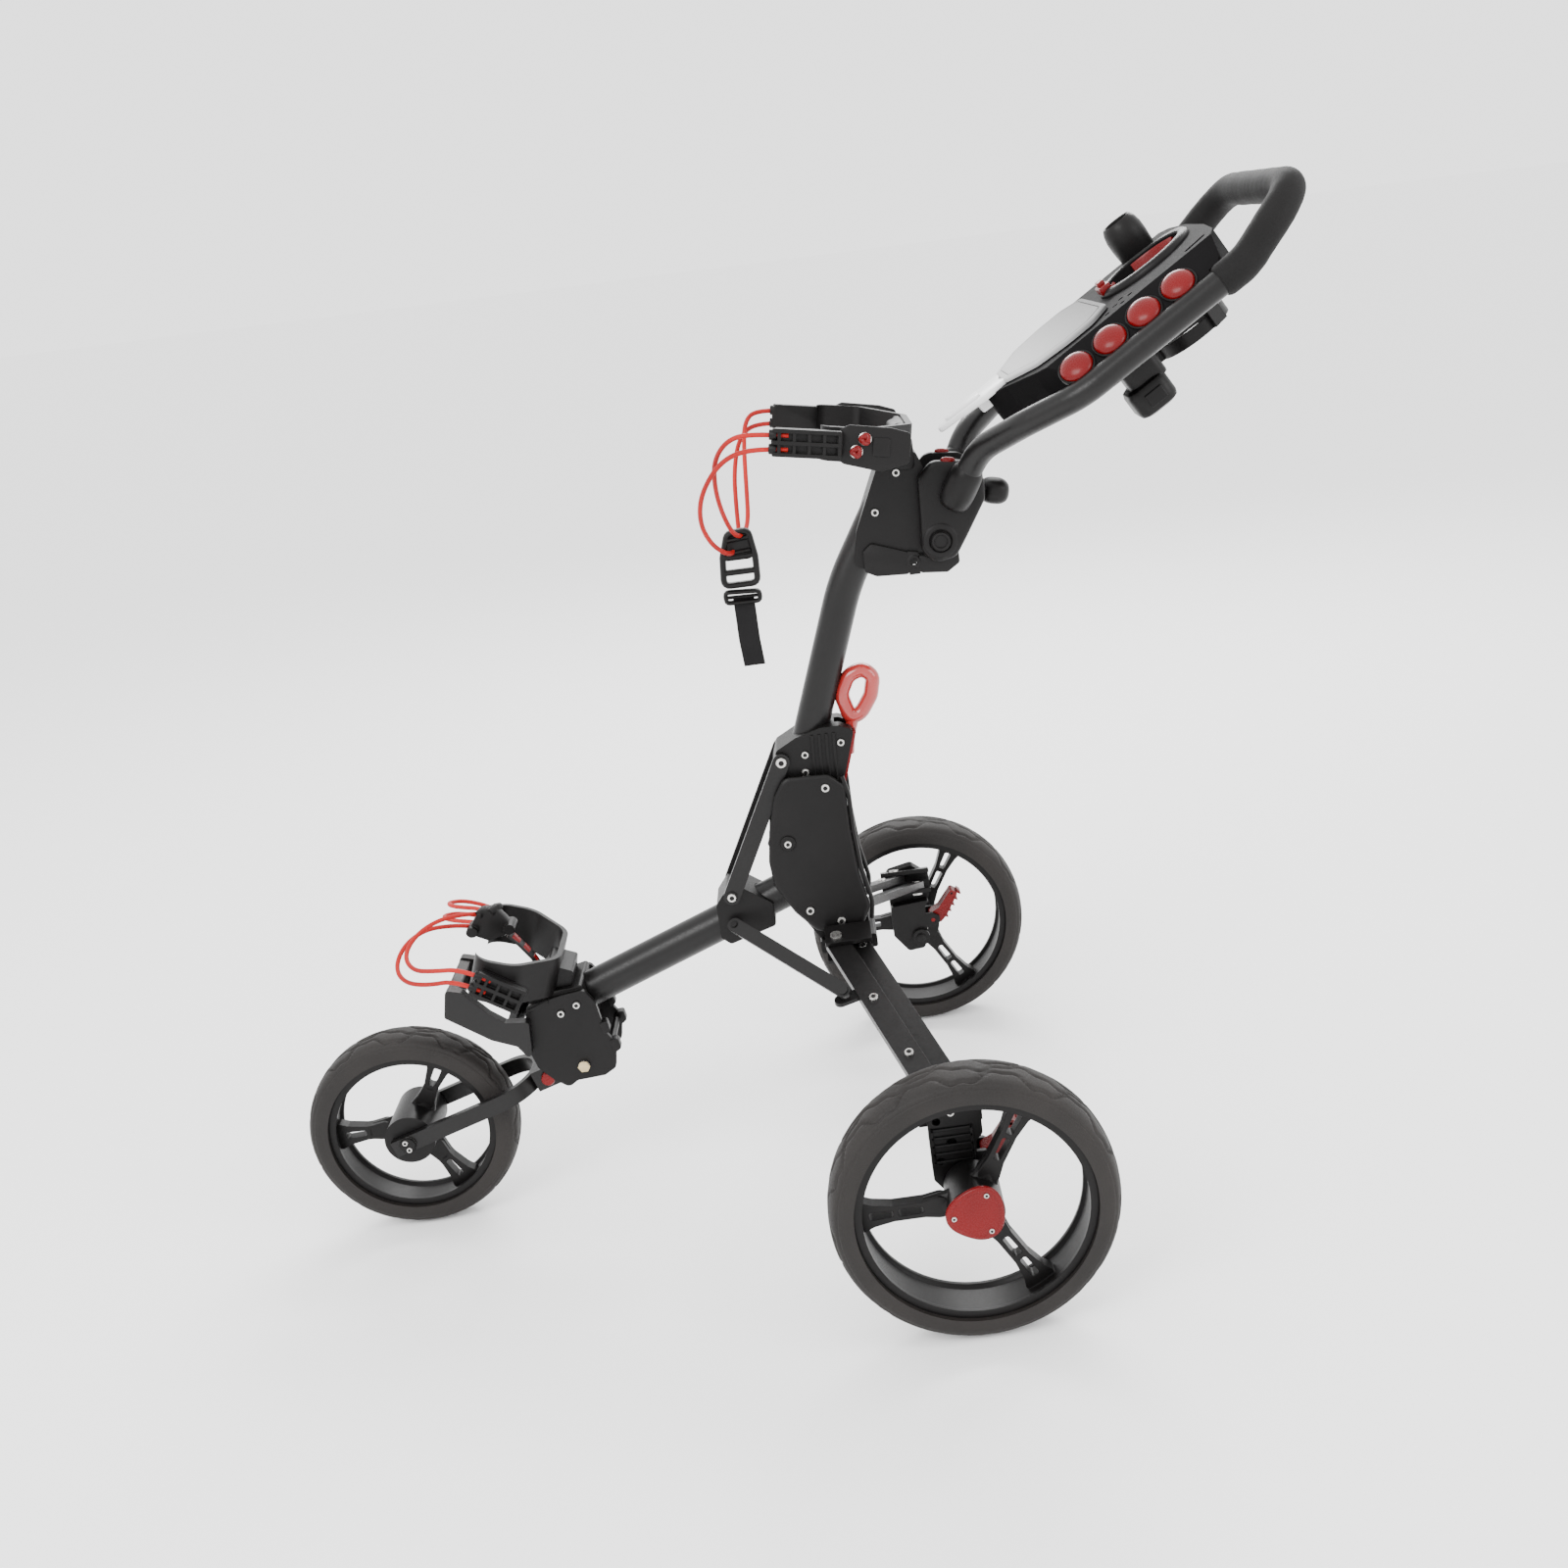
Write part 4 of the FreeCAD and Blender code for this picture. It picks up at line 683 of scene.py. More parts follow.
# %% Catch and clip
shape = bmesh.new()
slab(shape, console, [(145.5, -16), (159, -12), (159, 12), (145.5, 16)], 27, 36, 4, 1.6)
slab(shape, console, [(147.5, -9), (156, -7), (156, 7), (147.5, 9)], 35, 41, 3, 1.6)
piece("lid_catch", "handle", "red_plastic", shape)
shape = bmesh.new()
clip_line = [(-72, -8), (-50, -15), (-14, -33), (16, -30), (10, 0), (16, 30), (-14, 33), (-50, 15), (-72, 8)]
slab(shape, console, clip_line, 23, 29, 6, 2)
slab(shape, console, [(-60, -6), (-16, -20), (-16, 20), (-60, 6)], 28.6, 32, 5, 1.4)
slab(shape, console, [(-24, -13), (-4, -18), (-4, 18), (-24, 13)], 12, 23, 3, 1)
piece("card_clip", "handle", "silver_plastic", shape, "pale_plastic")
print("catch and clip")

# %% [markdown]
# The bottle hole has a rounded black rim, and three red pads line its wall. The rim is a profile
# turned all the way round. The pads are the same idea, but only over an arc each.

# %% Ring
ring = axes(console_at + console_way * 200, console_way, console_up)
rim_profile = [(44.4, 22), (44.3, 28), (45.2, 30.2), (47.6, 31.2), (51.6, 30.6), (54.6, 28.4), (55.4, 25),
               (55, 20)]
pad_profile = [(44.2, -6), (44.2, 26), (42.6, 27.2), (41.4, 25.4), (41.4, -6)]
shape = bmesh.new()
turned(shape, ring, rim_profile, 96, hollow=True)
piece("ring_rim", "handle", "black_plastic", shape)
shape = bmesh.new()
for start in (20, 140, 260):
    angles = [radians(start + 78 * k / 24) for k in range(25)]
    skin(shape, [[ring(r * cos(t), r * sin(t), z) for r, z in pad_profile] for t in angles])
piece("ring_pads", "handle", "red_plastic", shape)
print("rim and pads")

# %% [markdown]
# Four red domes sit in the near flank of the console, each in a low black seat. A ball cut in half
# would be too tall, so the dome's profile is a quarter of an oval, turned about its own axis.

# %% Domes
flank_tilt = atan2(31, 42)
flank_out = Vector((0, -sin(flank_tilt), 0)) + console_up * cos(flank_tilt)
dome_arc = [(17.2 * cos(a), 1 + 8.4 * sin(a)) for a in (radians(d) for d in range(0, 90, 9))]
shape, seats = bmesh.new(), bmesh.new()
for x in (70, 111, 152, 193):
    middle = console_at + console_way * x + Vector((0, -139, 0)) + console_up * 8.5
    place = axes(middle, console_way, flank_out)
    turned(shape, place, [(0.1, -3)] + dome_arc + [(0.1, 9.4)])
    turned(seats, place, [(17.3, -2), (19.6, -2), (19.6, 1.2), (18.6, 2.2), (17.4, 1.6)], hollow=True)
domes = piece("red_domes", "handle", "red_plastic", shape)
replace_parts(domes, "ball_inserts")
piece("dome_seats", "handle", "black_plastic", seats)
print("domes and seats")

# %% [markdown]
# The umbrella holder is a short bell beside the ring, wider in its middle than at its foot. Its bore
# stays open, because an umbrella's shaft goes into it, so the profile turns inwards at the mouth and
# runs down again.

# %% Umbrella holder
bell_foot = console_at + console_way * 216 + Vector((0, 96, 0)) + console_up * 24
bell_profile = [(0.1, 0.2), (20.4, 0.2), (21.2, 8), (21.8, 18), (21.6, 28), (20, 36), (17.6, 41), (16, 42.6),
                (14.8, 41.8), (14.4, 38), (14.4, 6.5), (0.1, 6)]
shape = bmesh.new()
turned(shape, axes(bell_foot, console_way, console_up), bell_profile, 56)
bell = piece("umbrella_bell", "handle", "black_plastic", shape)
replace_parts(bell, "umbrella_socket")
print("umbrella holder")

# %% [markdown]
# The pull lever is a fat glossy ring of red plastic on a short neck. A ring like this is easiest as
# an oval section drawn round a closed path, because the section stays even in the bends.

# %% Pull lever
def neck_size(t):
    return 0.9 + 0.25 * t


shape = bmesh.new()
ring_line = [(-58, 0, 548), (-45, 0, 552), (-32, 0, 571), (-27, 0, 592), (-38, 0, 602), (-54, 0, 597),
             (-65, 0, 576)]
drawn(shape, spaced(ring_line, 20, 2.5, loop=True), 10, 8.4, (0, 1, 0), loop=True, steps=20)
neck_line = spaced([(-64, 0, 508), (-61, 0, 530), (-52, 0, 556)], 20, 3)
drawn(shape, neck_line, 8.4, 6.4, (0, 1, 0), steps=20, grow=neck_size)
lever = piece("lever_ring", "pull_lever", "red_plastic", shape, "gloss_red")
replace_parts(lever, "pull_lever")
print("pull lever")

# %% [markdown]
# The bracket that the lever is set in has four upright ribs on each side, and a thin red strip runs
# down its rear edge. Ribs are narrow plates laid on the face. Each is sunk half a millimetre into
# it, so that no gap shows between them.

# %% Fold bracket
shape, strips = bmesh.new(), bmesh.new()
for sign in (-1, 1):
    face = 26.0 * sign
    for x in (-106, -98, -90, -82):
        ends = sorted((face - 0.5 * sign, face + 1.9 * sign))
        low = 484 - (x + 106) * 0.1
        slab(shape, side_plane, [(x - 1.7, low), (x + 1.7, low), (x + 5, 541), (x + 1.6, 541)], *ends, 1, 0.6)
    ends = sorted((12.0 * sign, 25.5 * sign))
    slab(strips, side_plane, [(-57, 540), (-53.4, 539), (-73, 479), (-77, 480)], *ends, 1.2, 0.8)
piece("bracket_ribs", "upper_frame", "black_plastic", shape)
piece("bracket_strips", "upper_frame", "red_plastic", strips)
print("bracket ribs and strips")

# %% [markdown]
# The two covers over the fold are matte shells with a crowned face: flat in the middle, falling
# away at the rim. Rings of one outline at falling scale give that crown. The rear edge carries a
# small flare, which is drawn as a lip along it.

# %% Side covers
cover_outline = [(-140, 500), (-91, 498), (-74, 484), (-74, 433), (-71, 380), (-63, 337), (-74, 314),
                 (-101, 307), (-127, 316), (-148, 341), (-167, 376), (-169, 405), (-164, 440), (-153, 479)]
rear_edge = [(-76, 494), (-71, 470), (-71, 430), (-68, 384), (-60, 342), (-63, 322)]
cover_levels = [(36.1, 0.995), (37, 1), (39.6, 1), (41.2, 0.985), (42.1, 0.95), (42.4, 0.9), (42.5, 0.02)]
for side, sign in sides:
    shape = bmesh.new()
    crowned(shape, sideways(sign), cover_outline, cover_levels, 12)
    drawn(shape, spaced([(x, sign * 38, z) for x, z in rear_edge], 30, 4), 3.6, 2.6, (0, 1, 0), steps=12)
    cover = piece(side + "_cover_shell", "frame", "black_plastic", shape)
    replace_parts(cover, side + "_side_cover")
print("covers")

# %% [markdown]
# Screws sit in pairs, one on each side of the cart, so a row of them is a short list of places in the
# side view. Each place says how far out its face is and how big its head is.

# %% Screws of the frame
screw_row("frame_screw_heads", "frame", [(-95.5, 484, 42.8, 4.9), (-131, 342, 42.8, 4.9),
                                         (-97.6, 325, 42.8, 4.9), (-428.6, 256.5, 40.9, 4.3),
                                         (-409.5, 264.5, 40.9, 4.3)])
screw_row("upper_screw_heads", "upper_frame", [(-113, 520, 27, 4.3), (-115, 500, 27, 4.3), (-72, 529, 27, 4.3),
                                               (23, 815, 26, 4.3), (-4, 776, 26, 4.3)])
print("screws of the frame")

# %% [markdown]
# The pins are closed in their own ways. The fork's pin has a six-sided brass nut, and the big pin at
# the fold has a flat cap with a screw in it. They are all turned, and the brass nut is turned in
# only six steps, which makes its flats.

# %% Fork and fold pins
nut_profile = [(0.1, 1), (7.2, 1), (7.2, 2.6), (5.6, 3.5), (0.1, 3.6)]
cap_profile = [(0.1, 2.5), (8.2, 2.3), (9, 1.2), (9.2, 0), (0.1, 0)]
nuts, fold_caps = bmesh.new(), bmesh.new()
for sign in (-1, 1):
    turned(nuts, facing(-413.6, 187.9, sign * 42), nut_profile, 6)
    turned(fold_caps, facing(-145, 425, sign * 42.3), cap_profile)
piece("fork_pivot_nuts", "frame", "steel", nuts, "brass")
piece("fold_pivot_caps", "frame", "black_plastic", fold_caps)
screw_row("fold_pivot_screws", "frame", [(-145, 425, 44.6, 4.3)])
screw_row("link_pivot_screws", "upper_frame", [(-140, 516, 33.0, 5.9)])
print("pins of the fork and the fold")

# %% [markdown]
# A black nut holds each rear axle, and the handle's pin ends in dark cups with a rolled rim. The
# rear legs fold with their wheels, so each nut rides on its own wheel bracket.

# %% Axle nuts and handle cups
nut_flange = [(0.1, -0.2), (11.6, -0.2), (11.8, -5), (0.1, -5.2)]
nut_end = [(5.6, 0), (5.6, 2.2), (4.6, 3), (0.1, 3)]
cup_profile = [(0.1, 2.8), (6.5, 2.8), (7.2, 4.6), (9.4, 5), (10.2, 4), (10.3, 1), (0.1, 1)]
for side, sign in sides:
    shape = bmesh.new()
    for profile in (nut_flange, nut_end):
        turned(shape, lambda a, b, c: at(a, sign * (286.6 - c), rear_r + b), profile)
    piece(side + "_axle_nut", side + "_wheel_bracket", "black_plastic", shape)
cups = bmesh.new()
for sign in (-1, 1):
    turned(cups, facing(61, 740, sign * 43), cup_profile)
piece("handle_pivot_cups", "upper_frame", "black_plastic", cups)
print("nuts and cups")

# %% [markdown]
# A round red button on the near side frees the fork. Its face is dished for a fingertip, which takes
# one more point in the profile.

# %% Fork button
button_profile = [(0.1, 0), (7.8, 0), (7.9, 2.6), (7.0, 4), (5.2, 3.6), (0.1, 3.4)]
shape = bmesh.new()
turned(shape, facing(-458.6, 174.1, -33.4), button_profile)
piece("button_face", "fork_button", "red_plastic", shape)
print("fork button")

# %% [markdown]
# Each cradle arm ends in a tip block: a plate with raised ribs, so that it is stiff and light, with
# two round mouths for the cord. The ribs could be what is left when slots are cut from a block, but
# bars set on a plate look the same and need no cutting.

# %% Cradle tips
mouth_profile = [(3.1, 0), (5.4, 0), (5.4, 6.4), (4.6, 7.4), (3.2, 7)]


def tip_blocks(name, node, body, base, low, high, inner, half, ribs):
    shape = bmesh.new()
    plate = [(low, -half), (high - 4, -half), (high, 4 - half), (high, half - 4), (high - 4, half), (low, half)]
    for sign in (-1, 1):
        def place(a, c, b):
            return base(a, sign * b, c)

        slab(shape, place, plate, inner, inner + 7, 3, 1)
        for z in (-half + 2.2, 0, half - 2.2):
            long_bar = [(low + 1, z - 2), (high - 1, z - 2), (high - 1, z + 2), (low + 1, z + 2)]
            slab(shape, place, long_bar, inner + 6, inner + 12.2, 1.5, 0.8)
        for x in ribs:
            cross_bar = [(x - 1.8, 1 - half), (x + 1.8, 1 - half), (x + 1.8, half - 1), (x - 1.8, half - 1)]
            slab(shape, place, cross_bar, inner + 6, inner + 11.6, 1.2, 0.8)
        for z in (-half / 2, half / 2):
            turned(shape, lambda a, b, c: base(high - 5 + c, sign * (inner + 5.9) + a, z + b), mouth_profile,
                   20, True)
    made = piece(name, body, "black_plastic", shape)
    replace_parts(made, node)


def cradle_axes(origin, degrees):
    """Axes of a cradle, with x along its arms towards the bag's mouth."""
    tilt = radians(degrees)
    return axes(origin, (-cos(tilt), 0, sin(tilt)), (sin(tilt), 0, cos(tilt)))


upper_cradle, lower_cradle = cradle_axes((42, 0, 849), 10), cradle_axes((-481, 0, 316), 34)
tip_blocks("upper_tip_blocks", "upper_cradle_tips", "upper_frame", upper_cradle, 74, 145, 112.2, 14,
           (77, 92, 107, 122, 137))
tip_blocks("lower_tip_blocks", "lower_cradle_tips", "frame", lower_cradle, -29, 29, 84.4, 15,
           (-26, -12, 2, 16, 24))
print("cradle tips")

# %% [markdown]
# The upper cradle grows out of the head with a stout neck. A gusset fills each corner between neck
# and arm, and the arms have a thicker, tapered plate at their root. The gusset is simply four points
# at its thin end joined to four at its thick end.

# %% Cradle neck
neck = bmesh.new()
slab(neck, side_plane, [(4, 818), (22, 864), (38, 868), (44, 846), (44, 815)], -26.5, 26.5, 6, 3)
slab(neck, side_plane, [(16, 838), (30, 866), (38, 866), (38, 836)], -44, 44, 5, 3)
root_plate = [(6, -15), (34, -25), (72, -19), (78, -15), (78, 15), (68, 20), (26, 19), (6, 15)]
gusset = [[(-8, -104, 836), (-8, -104, 852), (30, -62, 848), (30, -62, 828)],
          [(6, -25, 830), (6, -25, 848), (34, -25, 848), (34, -25, 832)]]
for sign in (-1, 1):
    def arm(a, c, b):
        return upper_cradle(a, sign * b, c)

    slab(neck, arm, root_plate, 111.6, 114.6, 5, 1)
    slab(neck, arm, [(26, -10), (44, -10), (44, 9), (26, 9)], 114.2, 116, 3, 0.8)
    skin(neck, [[at(x, -sign * y, z) for x, y, z in ring_points] for ring_points in gusset])
piece("cradle_neck", "upper_frame", "black_plastic", neck)
print("cradle neck")

# %% [markdown]
# Two steel eyelets in each upper arm hold the knotted ends of the cords. The knot is a trefoil: a
# closed line that winds twice round while it swings in and out three times. That gives crossing
# strands from one formula, where a hand-drawn knot would need many points.

# %% Eyelets and knots
def knot_line(sign, x, z):
    """A trefoil outside one eyelet, as places on the cart's drawing."""
    line = []
    for k in range(40):
        t = 2 * pi * k / 40
        swing = 3.4 + 1.2 * cos(3 * t)
        spot = upper_cradle(x + swing * cos(2 * t), sign * (117.6 + 1.6 * sin(3 * t)), z + swing * sin(2 * t))
        line.append(((spot.x - axle_x) * 1000, spot.y * 1000, spot.z * 1000))
    return line


eyelets, knots = bmesh.new(), bmesh.new()
eyelet_profile = [(3.4, 0), (6.6, 0), (6.6, 1.2), (5, 2.2), (3.6, 1.6)]
for sign in (-1, 1):
    for x, z in ((52, 7), (60, -6)):
        turned(eyelets, lambda a, b, c: upper_cradle(x + a, sign * (114.4 + c), z + b), eyelet_profile,
               28, True)
        drawn(knots, knot_line(sign, x, z), 2.2, 2.2, (0.3, 1, 0.2), loop=True, steps=10)
piece("cradle_eyelets", "upper_frame", "steel", eyelets)
piece("cradle_knots", "upper_frame", "cord_red", knots, "red_plastic")
print("four eyelets and knots")

# %% [markdown]
# The upper buckle is moulded: a bent frame with bars across it, so that the cord can slip but the
# webbing can't, and a smaller slide below. All of it is rods and bars, so it is drawn along short
# paths, with one plate where the cords enter.

# %% Upper buckle
shape = bmesh.new()
buckle_line = [(-175, 0, 713), (-172, 0, 744), (-164, 0, 769), (-141, 0, 771), (-137, 0, 742), (-138, 0, 713)]
drawn(shape, spaced(buckle_line, 7, 2.5, loop=True), 6.4, 3.6, (0, 1, 0), loop=True)
for z in (744, 727):
    drawn(shape, [(-173, 0, z), (-156, 0, z), (-139, 0, z)], 5.2, 3.4, (0, 1, 0), steps=14)
slab(shape, side_plane, [(-172, 740), (-164, 767), (-142, 769), (-140, 740)], -3.4, 3.4, 4, 1)
for z in (762, 748):
    drawn(shape, [(-165, 0, z), (-153, 0, z + 1), (-141, 0, z + 2)], 7.4, 3, (0, 1, 0), steps=14)
slide = spaced([(-175, 0, 694), (-175, 0, 706), (-138, 0, 704), (-138, 0, 693)], 4, 2, loop=True)
drawn(shape, slide, 5.6, 2.6, (0, 1, 0), loop=True)
drawn(shape, [(-174, 0, 700), (-156, 0, 699.5), (-139, 0, 699)], 4, 1.8, (0, 1, 0), steps=12)
upper_buckle = piece("upper_buckle_frame", "upper_frame", "black_plastic", shape)
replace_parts(upper_buckle, "upper_buckle")

# %% [markdown]
# The webbing tab below the upper buckle is woven, so it is one thin sheet that bends a little. A
# grid of points makes it, and a modifier gives it its thickness, which keeps it a true sheet. Its
# flat size is the cut length and the width of the tab.

# %% Webbing tab
shape = bmesh.new()
rows, columns, tab_top, tab_length, tab_width = 30, 9, 699.0, 0.078, 0.023
grid = []
for i in range(rows + 1):
    t = i / rows
    left, bend, z = -167.5 + 4 * max(0, t - 0.6), 1.6 * sin(2.4 * t * pi), tab_top - t * 77.5
    row = [(left + tab_width * 1000 * k / columns, bend + 0.35 * sin(pi * k / columns), z)
           for k in range(columns + 1)]
    grid.append([shape.verts.new(at(*spot)) for spot in row])
for one, two in zip(grid, grid[1:]):
    for k in range(columns):
        shape.faces.new((one[k], one[k + 1], two[k + 1], two[k]))
tab = piece("webbing_tab", "upper_frame", "webbing", shape)
thick = tab.modifiers.new("thickness", "SOLIDIFY")
thick.thickness, thick.offset = 0.0014, 0
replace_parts(tab, "upper_strap")
print(f"webbing tab of {tab_width * 1000:.0f} by {tab_length * 1000:.0f} mm")

# %% [markdown]
# The lower buckle is a plump body with two rollers and two loops, and a short strap runs down from
# it to the bracket, with red inserts along it. All its parts are plump and soft, so oval sections
# along short paths are enough.

# %% Lower buckle
shape = bmesh.new()
body_outline = [(-517, 364), (-505, 381), (-486, 382), (-474, 364), (-478, 347), (-500, 342), (-515, 350)]
slab(shape, side_plane, body_outline, -7.5, 7.5, 6, 3)
for x, z in ((-516, 357), (-474, 355)):
    drawn(shape, [(x, -12, z), (x, 0, z + 1), (x, 12, z)], 6.2, 6.6, (0, 0, 1), steps=18)
for x, z in ((-502, 376), (-488, 377)):
    drawn(shape, [(x - 4, -8, z), (x + 2, 0, z + 3), (x + 4, 8, z)], 4.6, 4.6, (0, 0, 1), steps=16)
strap = spaced([(-478, 0, 346), (-468, 0, 334), (-455, 0, 314), (-446, 0, 292)], 20, 3)
drawn(shape, strap, 10.5, 2.2, (0, 1, 0), steps=20)
lower_buckle = piece("lower_buckle_body", "frame", "black_plastic", shape)
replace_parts(lower_buckle, "lower_buckle")
shape = bmesh.new()
for one, two in (((-474, 343), (-468, 334)), ((-464, 329), (-459, 321)), ((-456, 315), (-453, 308))):
    drawn(shape, spaced([(one[0], 0, one[1]), (two[0], 0, two[1])], 5, 2), 7.2, 3.4, (0, 1, 0), steps=16)
piece("strap_inserts", "frame", "red_plastic", shape)
print("lower buckle and strap")

# %% [markdown]
# The parking hook is made of flat bars on each side of the head, with a round rod between them. Bars
# of three outlines overlap to leave a slot, and a collar goes round the hole that takes a hook.

# %% Parking hook
shape = bmesh.new()
hook_bars = [([(-22, 714), (-10, 708), (26, 706), (26, 730), (-12, 744), (-22, 736)], 4),
             ([(36, 706), (66, 703), (80, 712), (80, 726), (74, 732), (70, 722), (60, 715), (36, 727)], 4),
             ([(25, 705), (37, 705), (37, 714.6), (25, 714.6)], 0.5),
             ([(25, 723.4), (37, 723.4), (37, 729), (25, 731)], 0.5)]
for sign in (-1, 1):
    for bar, corner in hook_bars:
        slab(shape, sideways(sign), bar, 25.3, 29.4, corner, 1)
    turned(shape, facing(31, 719, sign * 25.2), [(4.1, 0), (7, 0), (7, 4.6), (6, 5.2), (4.1, 5)], 32, True)
drawn(shape, [(73, -26, 713), (73, 0, 713), (73, 26, 713)], 4.6, 4.6, (1, 0, 0), steps=20)
hook = piece("hook_plates", "upper_frame", "black_plastic", shape)
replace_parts(hook, "parking_hook")
print("parking hook")

# %% [markdown]
# A soft-cornered block hangs under the console, most likely a holder for small things. It is two
# plates, one on the other, with generous corners, and a small bar on its left face.

# %% Accessory block
shape = bmesh.new()
slab(shape, console, [(104, -86), (146, -86), (146, -46), (104, -46)], -62, -9, 10, 2.5)
slab(shape, console, [(96, -92), (142, -92), (142, -40), (96, -40)], -88, -56, 14, 7)
slab(shape, console, [(110, -93.5), (130, -93.5), (130, -90), (110, -90)], -80, -66, 1, 0.8)
block = piece("block_shell", "handle", "black_plastic", shape)
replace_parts(block, "accessory_block")
print("accessory block")

# %% [markdown]
# A cam knob clamps the handle. It is a thumb-sized lump, so its shape is a squared-off ball: the
# ball's sines and cosines are raised to a power below one, which pushes its sides out. Modelling it
# by hand in sculpt mode would work too, but could not be written down in a line.

# %% Cam knob
def squared(v, power=0.75):
    return abs(v) ** power * (1 if v >= 0 else -1)


def lump(shape, centre, sizes, lean, steps=28):
    """A squared-off ball that leans in the side view."""
    rings = []
    for i in range(1, steps):
        phi, ring_points = pi * (i / steps - 0.5), []
        for k in range(2 * steps):
            t = pi * k / steps
            x = sizes[0] * squared(cos(phi)) * squared(cos(t))
            z = sizes[2] * squared(cos(phi)) * squared(sin(t))
            ring_points.append(at(centre[0] + x * cos(lean) - z * sin(lean),
                                  centre[1] + sizes[1] * squared(sin(phi)),
                                  centre[2] + x * sin(lean) + z * cos(lean)))
        rings.append(ring_points)
    return skin(shape, rings)


shape = bmesh.new()
lump(shape, (127, 0, 779), (16, 19, 14), radians(-12))
lump(shape, (108, 0, 785), (9, 25, 10), radians(-30))
knob = piece("cam_knob", "clamp_lever", "black_plastic", shape)
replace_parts(knob, "clamp_lever")
print("cam knob")

# %% [markdown]
# The clamp is a casting with two cheeks. Each has a crowned face, a raised boss round the pivot and
# a short sleeve that the handle's tube goes into. The sleeve points along the tube, so its rings are
# set square to that direction.

# %% Handle clamp
shape = bmesh.new()
cheek_outline = [(44, 808), (60, 824), (98, 820), (114, 800), (113, 778), (88, 738), (76, 720), (54, 716),
                 (40, 730), (42, 760)]
cheek_levels = [(29.7, 0.99), (30.4, 1), (38, 1), (40.6, 0.97), (42, 0.92), (42.4, 0.8), (42.5, 0.02)]
boss_profile = [(0.1, 1.2), (11, 1.2), (12.4, 3.2), (15.5, 3.6), (18.4, 2), (18.6, -2)]
sleeve_profile = [(8, -4), (14.5, -1), (17, 4), (17.8, 16), (17.4, 34), (16.4, 41), (14.2, 45)]
for sign in (-1, 1):
    crowned(shape, sideways(sign), cheek_outline, cheek_levels, 14)
    turned(shape, facing(61, 740, sign * 41), boss_profile)
    way = Vector((20, sign * 16.6, 37)).normalized()
    side = way.cross(Vector((0, 1, 0))).normalized()
    turned(shape, axes((78, sign * 45, 778), side, way), sleeve_profile, 32)
drawn(shape, [(90, -30, 806), (90, 0, 806), (90, 30, 806)], 9, 9, (1, 0, 0), steps=24)
clamp = piece("clamp_shell", "handle", "black_plastic", shape)
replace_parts(clamp, "handle_clamp")
screw_row("clamp_screws", "handle", [(100, 800, 42.2, 4.3)])
print("clamp of two cheeks")

# %% [markdown]
# Small red pointers on top of the clamp show when it is shut. They are the knob's shape again, only
# much smaller and flatter.

# %% Pointers
shape = bmesh.new()
for y in (-36, 36):
    lump(shape, (78, y, 822), (8, 3.6, 4), radians(-8), 14)
piece("clamp_pointers", "handle", "red_plastic", shape)
print("two pointers")

# %% [markdown]
# The brackets at the wheels carry cast ribs and two bright screws each, and the brake pedals have
# teeth for the sole of a shoe. Ribs and teeth are rows of small plates, so each row is a loop.

# %% Wheel brackets and pedals
for side, sign in sides:
    ribs, screws, teeth = bmesh.new(), bmesh.new(), bmesh.new()
    ends = sorted((sign * 321.5, sign * 323.8))
    for z in (206, 197, 188, 179, 170):
        slab(ribs, side_plane, [(-34, z - 1.4), (8, z - 1.4), (8, z + 1.4), (-34, z + 1.4)], *ends, 1, 0.6)
    for x in (-33, 7):
        slab(ribs, side_plane, [(x - 1.4, 168), (x + 1.4, 168), (x + 1.4, 208), (x - 1.4, 208)], *ends, 1, 0.6)
    screw_head(screws, facing(-12, 224, sign * 322), 4.2, 2.0)
    screw_head(screws, facing(19, 166, sign * 322), 3.6, 1.8)
    ends = sorted((sign * 297.0, sign * 317.0))
    for k in range(5):
        t = k / 4
        x, z = 34 + 20 * t, 168 + 31 * t
        tooth = [(x, z), (x + 5.5, z - 3.4), (x + 6.2, z - 1.6), (x + 1.4, z + 2.4)]
        slab(teeth, side_plane, tooth, *ends, 0.8, 0.5)
    piece(side + "_bracket_ribs", side + "_wheel_bracket", "black_plastic", ribs)
    piece(side + "_bracket_screws", side + "_wheel_bracket", "steel", screws, "steel", "black_plastic")
    piece(side + "_pedal_teeth", side + "_brake_pedal", "red_plastic", teeth)
print("ribs, screws and teeth on both sides")

# %% [markdown]
# Two screws stand on each front leg bar, square to its sloping top face. Their places are distances
# along the bar's own direction, which is how a maker would mark them out. The right leg is the left
# one mirrored.

# %% Leg screws
leg_start, leg_way = Vector((-105.7, -65.16, 311.49)), Vector((80, -228, -76)).normalized()
lift = Vector((0, -0.316, 0.949))
across_leg = lift.cross(leg_way)
for side, mirror in (("left", Vector((1, 1, 1))), ("right", Vector((1, -1, 1)))):
    screws = bmesh.new()
    for reach in (104, 196):
        def place(a, b, c):
            return at(*((leg_start + leg_way * (reach + a) + across_leg * b + lift * c) * mirror))

        screw_head(screws, place, 5.2, 2.6)
    piece(side + "_leg_screws", side + "_front_bar", "steel", screws, "steel", "black_plastic")
screw_row("link_foot_screws", "strut_links", [(-216.6, 366, 33.2, 5.2)])
print("leg screws")

# %% [markdown]
# The casting at the front has latch lugs at its rear edge and a low rail on each flank. They are
# small, but they break the straight outline of the casting where it meets the tube.

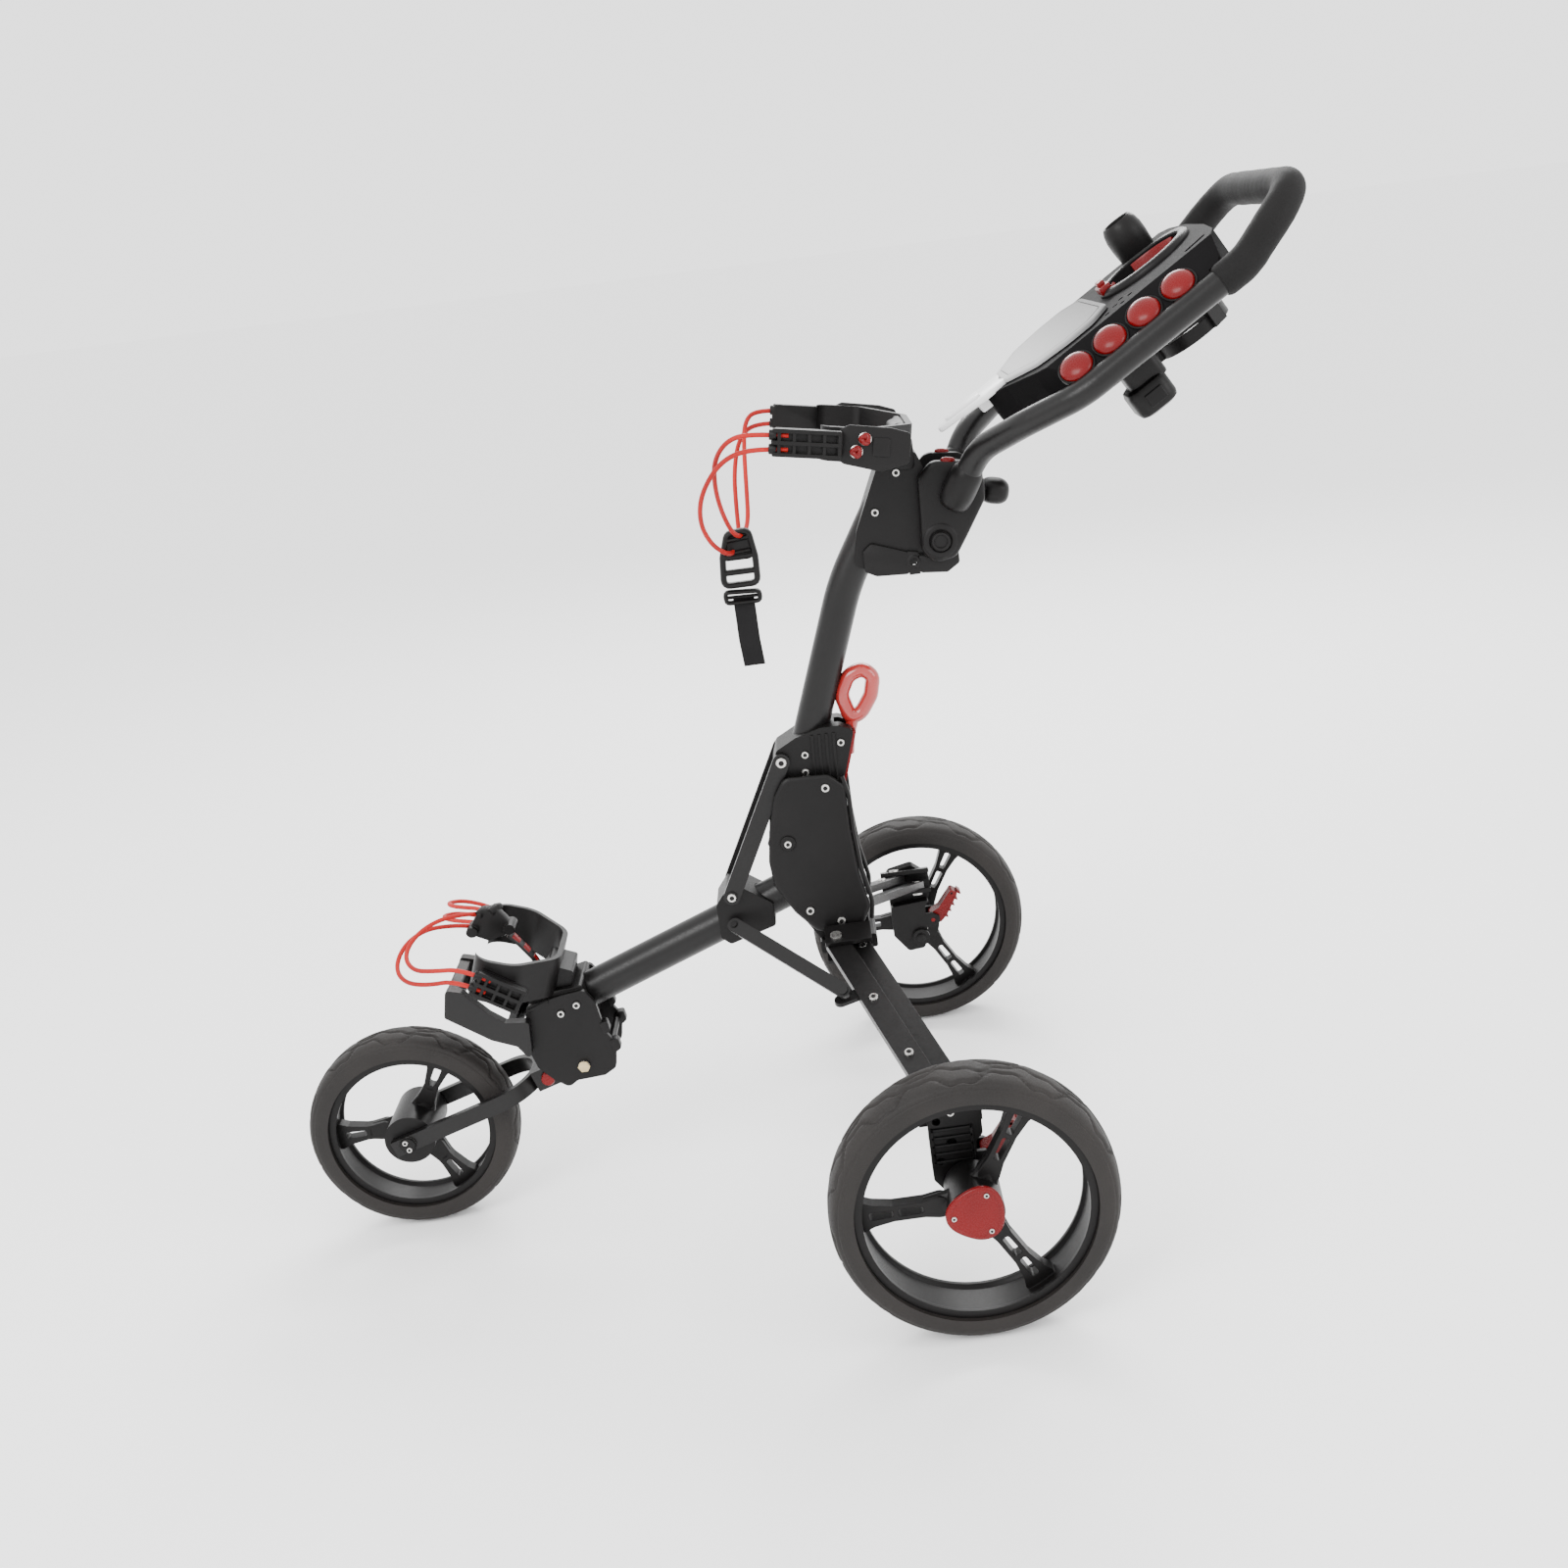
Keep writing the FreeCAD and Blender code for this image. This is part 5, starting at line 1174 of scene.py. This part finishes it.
# %% Lugs
shape = bmesh.new()
for sign in (-1, 1):
    ends = sorted((sign * 30.0, sign * 42.0))
    slab(shape, side_plane, [(-388, 238), (-379, 240), (-377, 228), (-384, 222)], *ends, 2.5, 1)
    slab(shape, side_plane, [(-380, 216), (-370, 216), (-368, 204), (-376, 198)], *ends, 3, 1)
    slab(shape, side_plane, [(-466, 266), (-440, 276), (-440, 271), (-464, 261)], *ends, 1.5, 0.8)
piece("bracket_lugs", "frame", "black_plastic", shape)
print("lugs")

# %% [markdown]
# The light is that of a product studio: one wide soft panel above and to the front left, a weaker
# one from the right, a long strip behind to draw the outlines of the black tubes, and a pale world
# around it all.

# %% Studio
world = bpy.data.worlds.new("studio")
bpy.context.scene.world = world
world.use_nodes = True
world.node_tree.nodes["Background"].inputs["Color"].default_value = (1, 1, 1, 1)
world.node_tree.nodes["Background"].inputs["Strength"].default_value = 2.3


def panel(name, place, size, power):
    lamp = bpy.data.lights.new(name, "AREA")
    lamp.shape = "RECTANGLE"
    lamp.size, lamp.size_y = size
    lamp.energy = power
    holder = bpy.data.objects.new(name, lamp)
    bpy.context.collection.objects.link(holder)
    holder.location = place
    aim = Vector((0, 0, 0.5)) - Vector(place)
    holder.rotation_euler = aim.to_track_quat("-Z", "Y").to_euler()


panel("key", (-1.6, -2.2, 2.6), (1.8, 1.4), 80)
panel("fill", (2.4, -1.4, 1.6), (1.2, 1.6), 30)
panel("rim", (0.6, 2.6, 2.4), (2.4, 0.6), 90)
print("three panels and a pale world")

# %% [markdown]
# The floor is one large sheet of pale paint. It reaches so far that its edge never shows, which is
# simpler than a curved backdrop. It belongs to the stage and not to the cart.

# %% Floor
floor_mesh = bpy.data.meshes.new("floor")
corners = [(-60, -60, -0.0005), (60, -60, -0.0005), (60, 60, -0.0005), (-60, 60, -0.0005)]
floor_mesh.from_pydata(corners, [], [(0, 1, 2, 3)])
floor = bpy.data.objects.new("floor", floor_mesh)
bpy.context.collection.objects.link(floor)
finish("pale_floor", (0.955, 0.955, 0.955), (0.95, 0.95, 0.95), (0.55, 0.6), 40, 0.02, edge=0)
floor_mesh.materials.append(finishes["pale_floor"])
floor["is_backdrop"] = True
print("floor in place")

# %% [markdown]
# The upper cords hang from their tips, the lower ones lie loose over the cradle, and each outer
# cord carries its buckle.

print(len(cords), "cords declared")

# %% [markdown]
# Last come the sizes. The visible model has to fill the same box as the frame, so both are measured
# and their spans printed.

# %% Sizes and finish
low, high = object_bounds()
sizes = {"frame": [list(corner) for corner in frame_box], "visual": [list(low), list(high)]}
spans = {name: [round(b - a, 4) for a, b in zip(*box)] for name, box in sizes.items()}
print(spans)
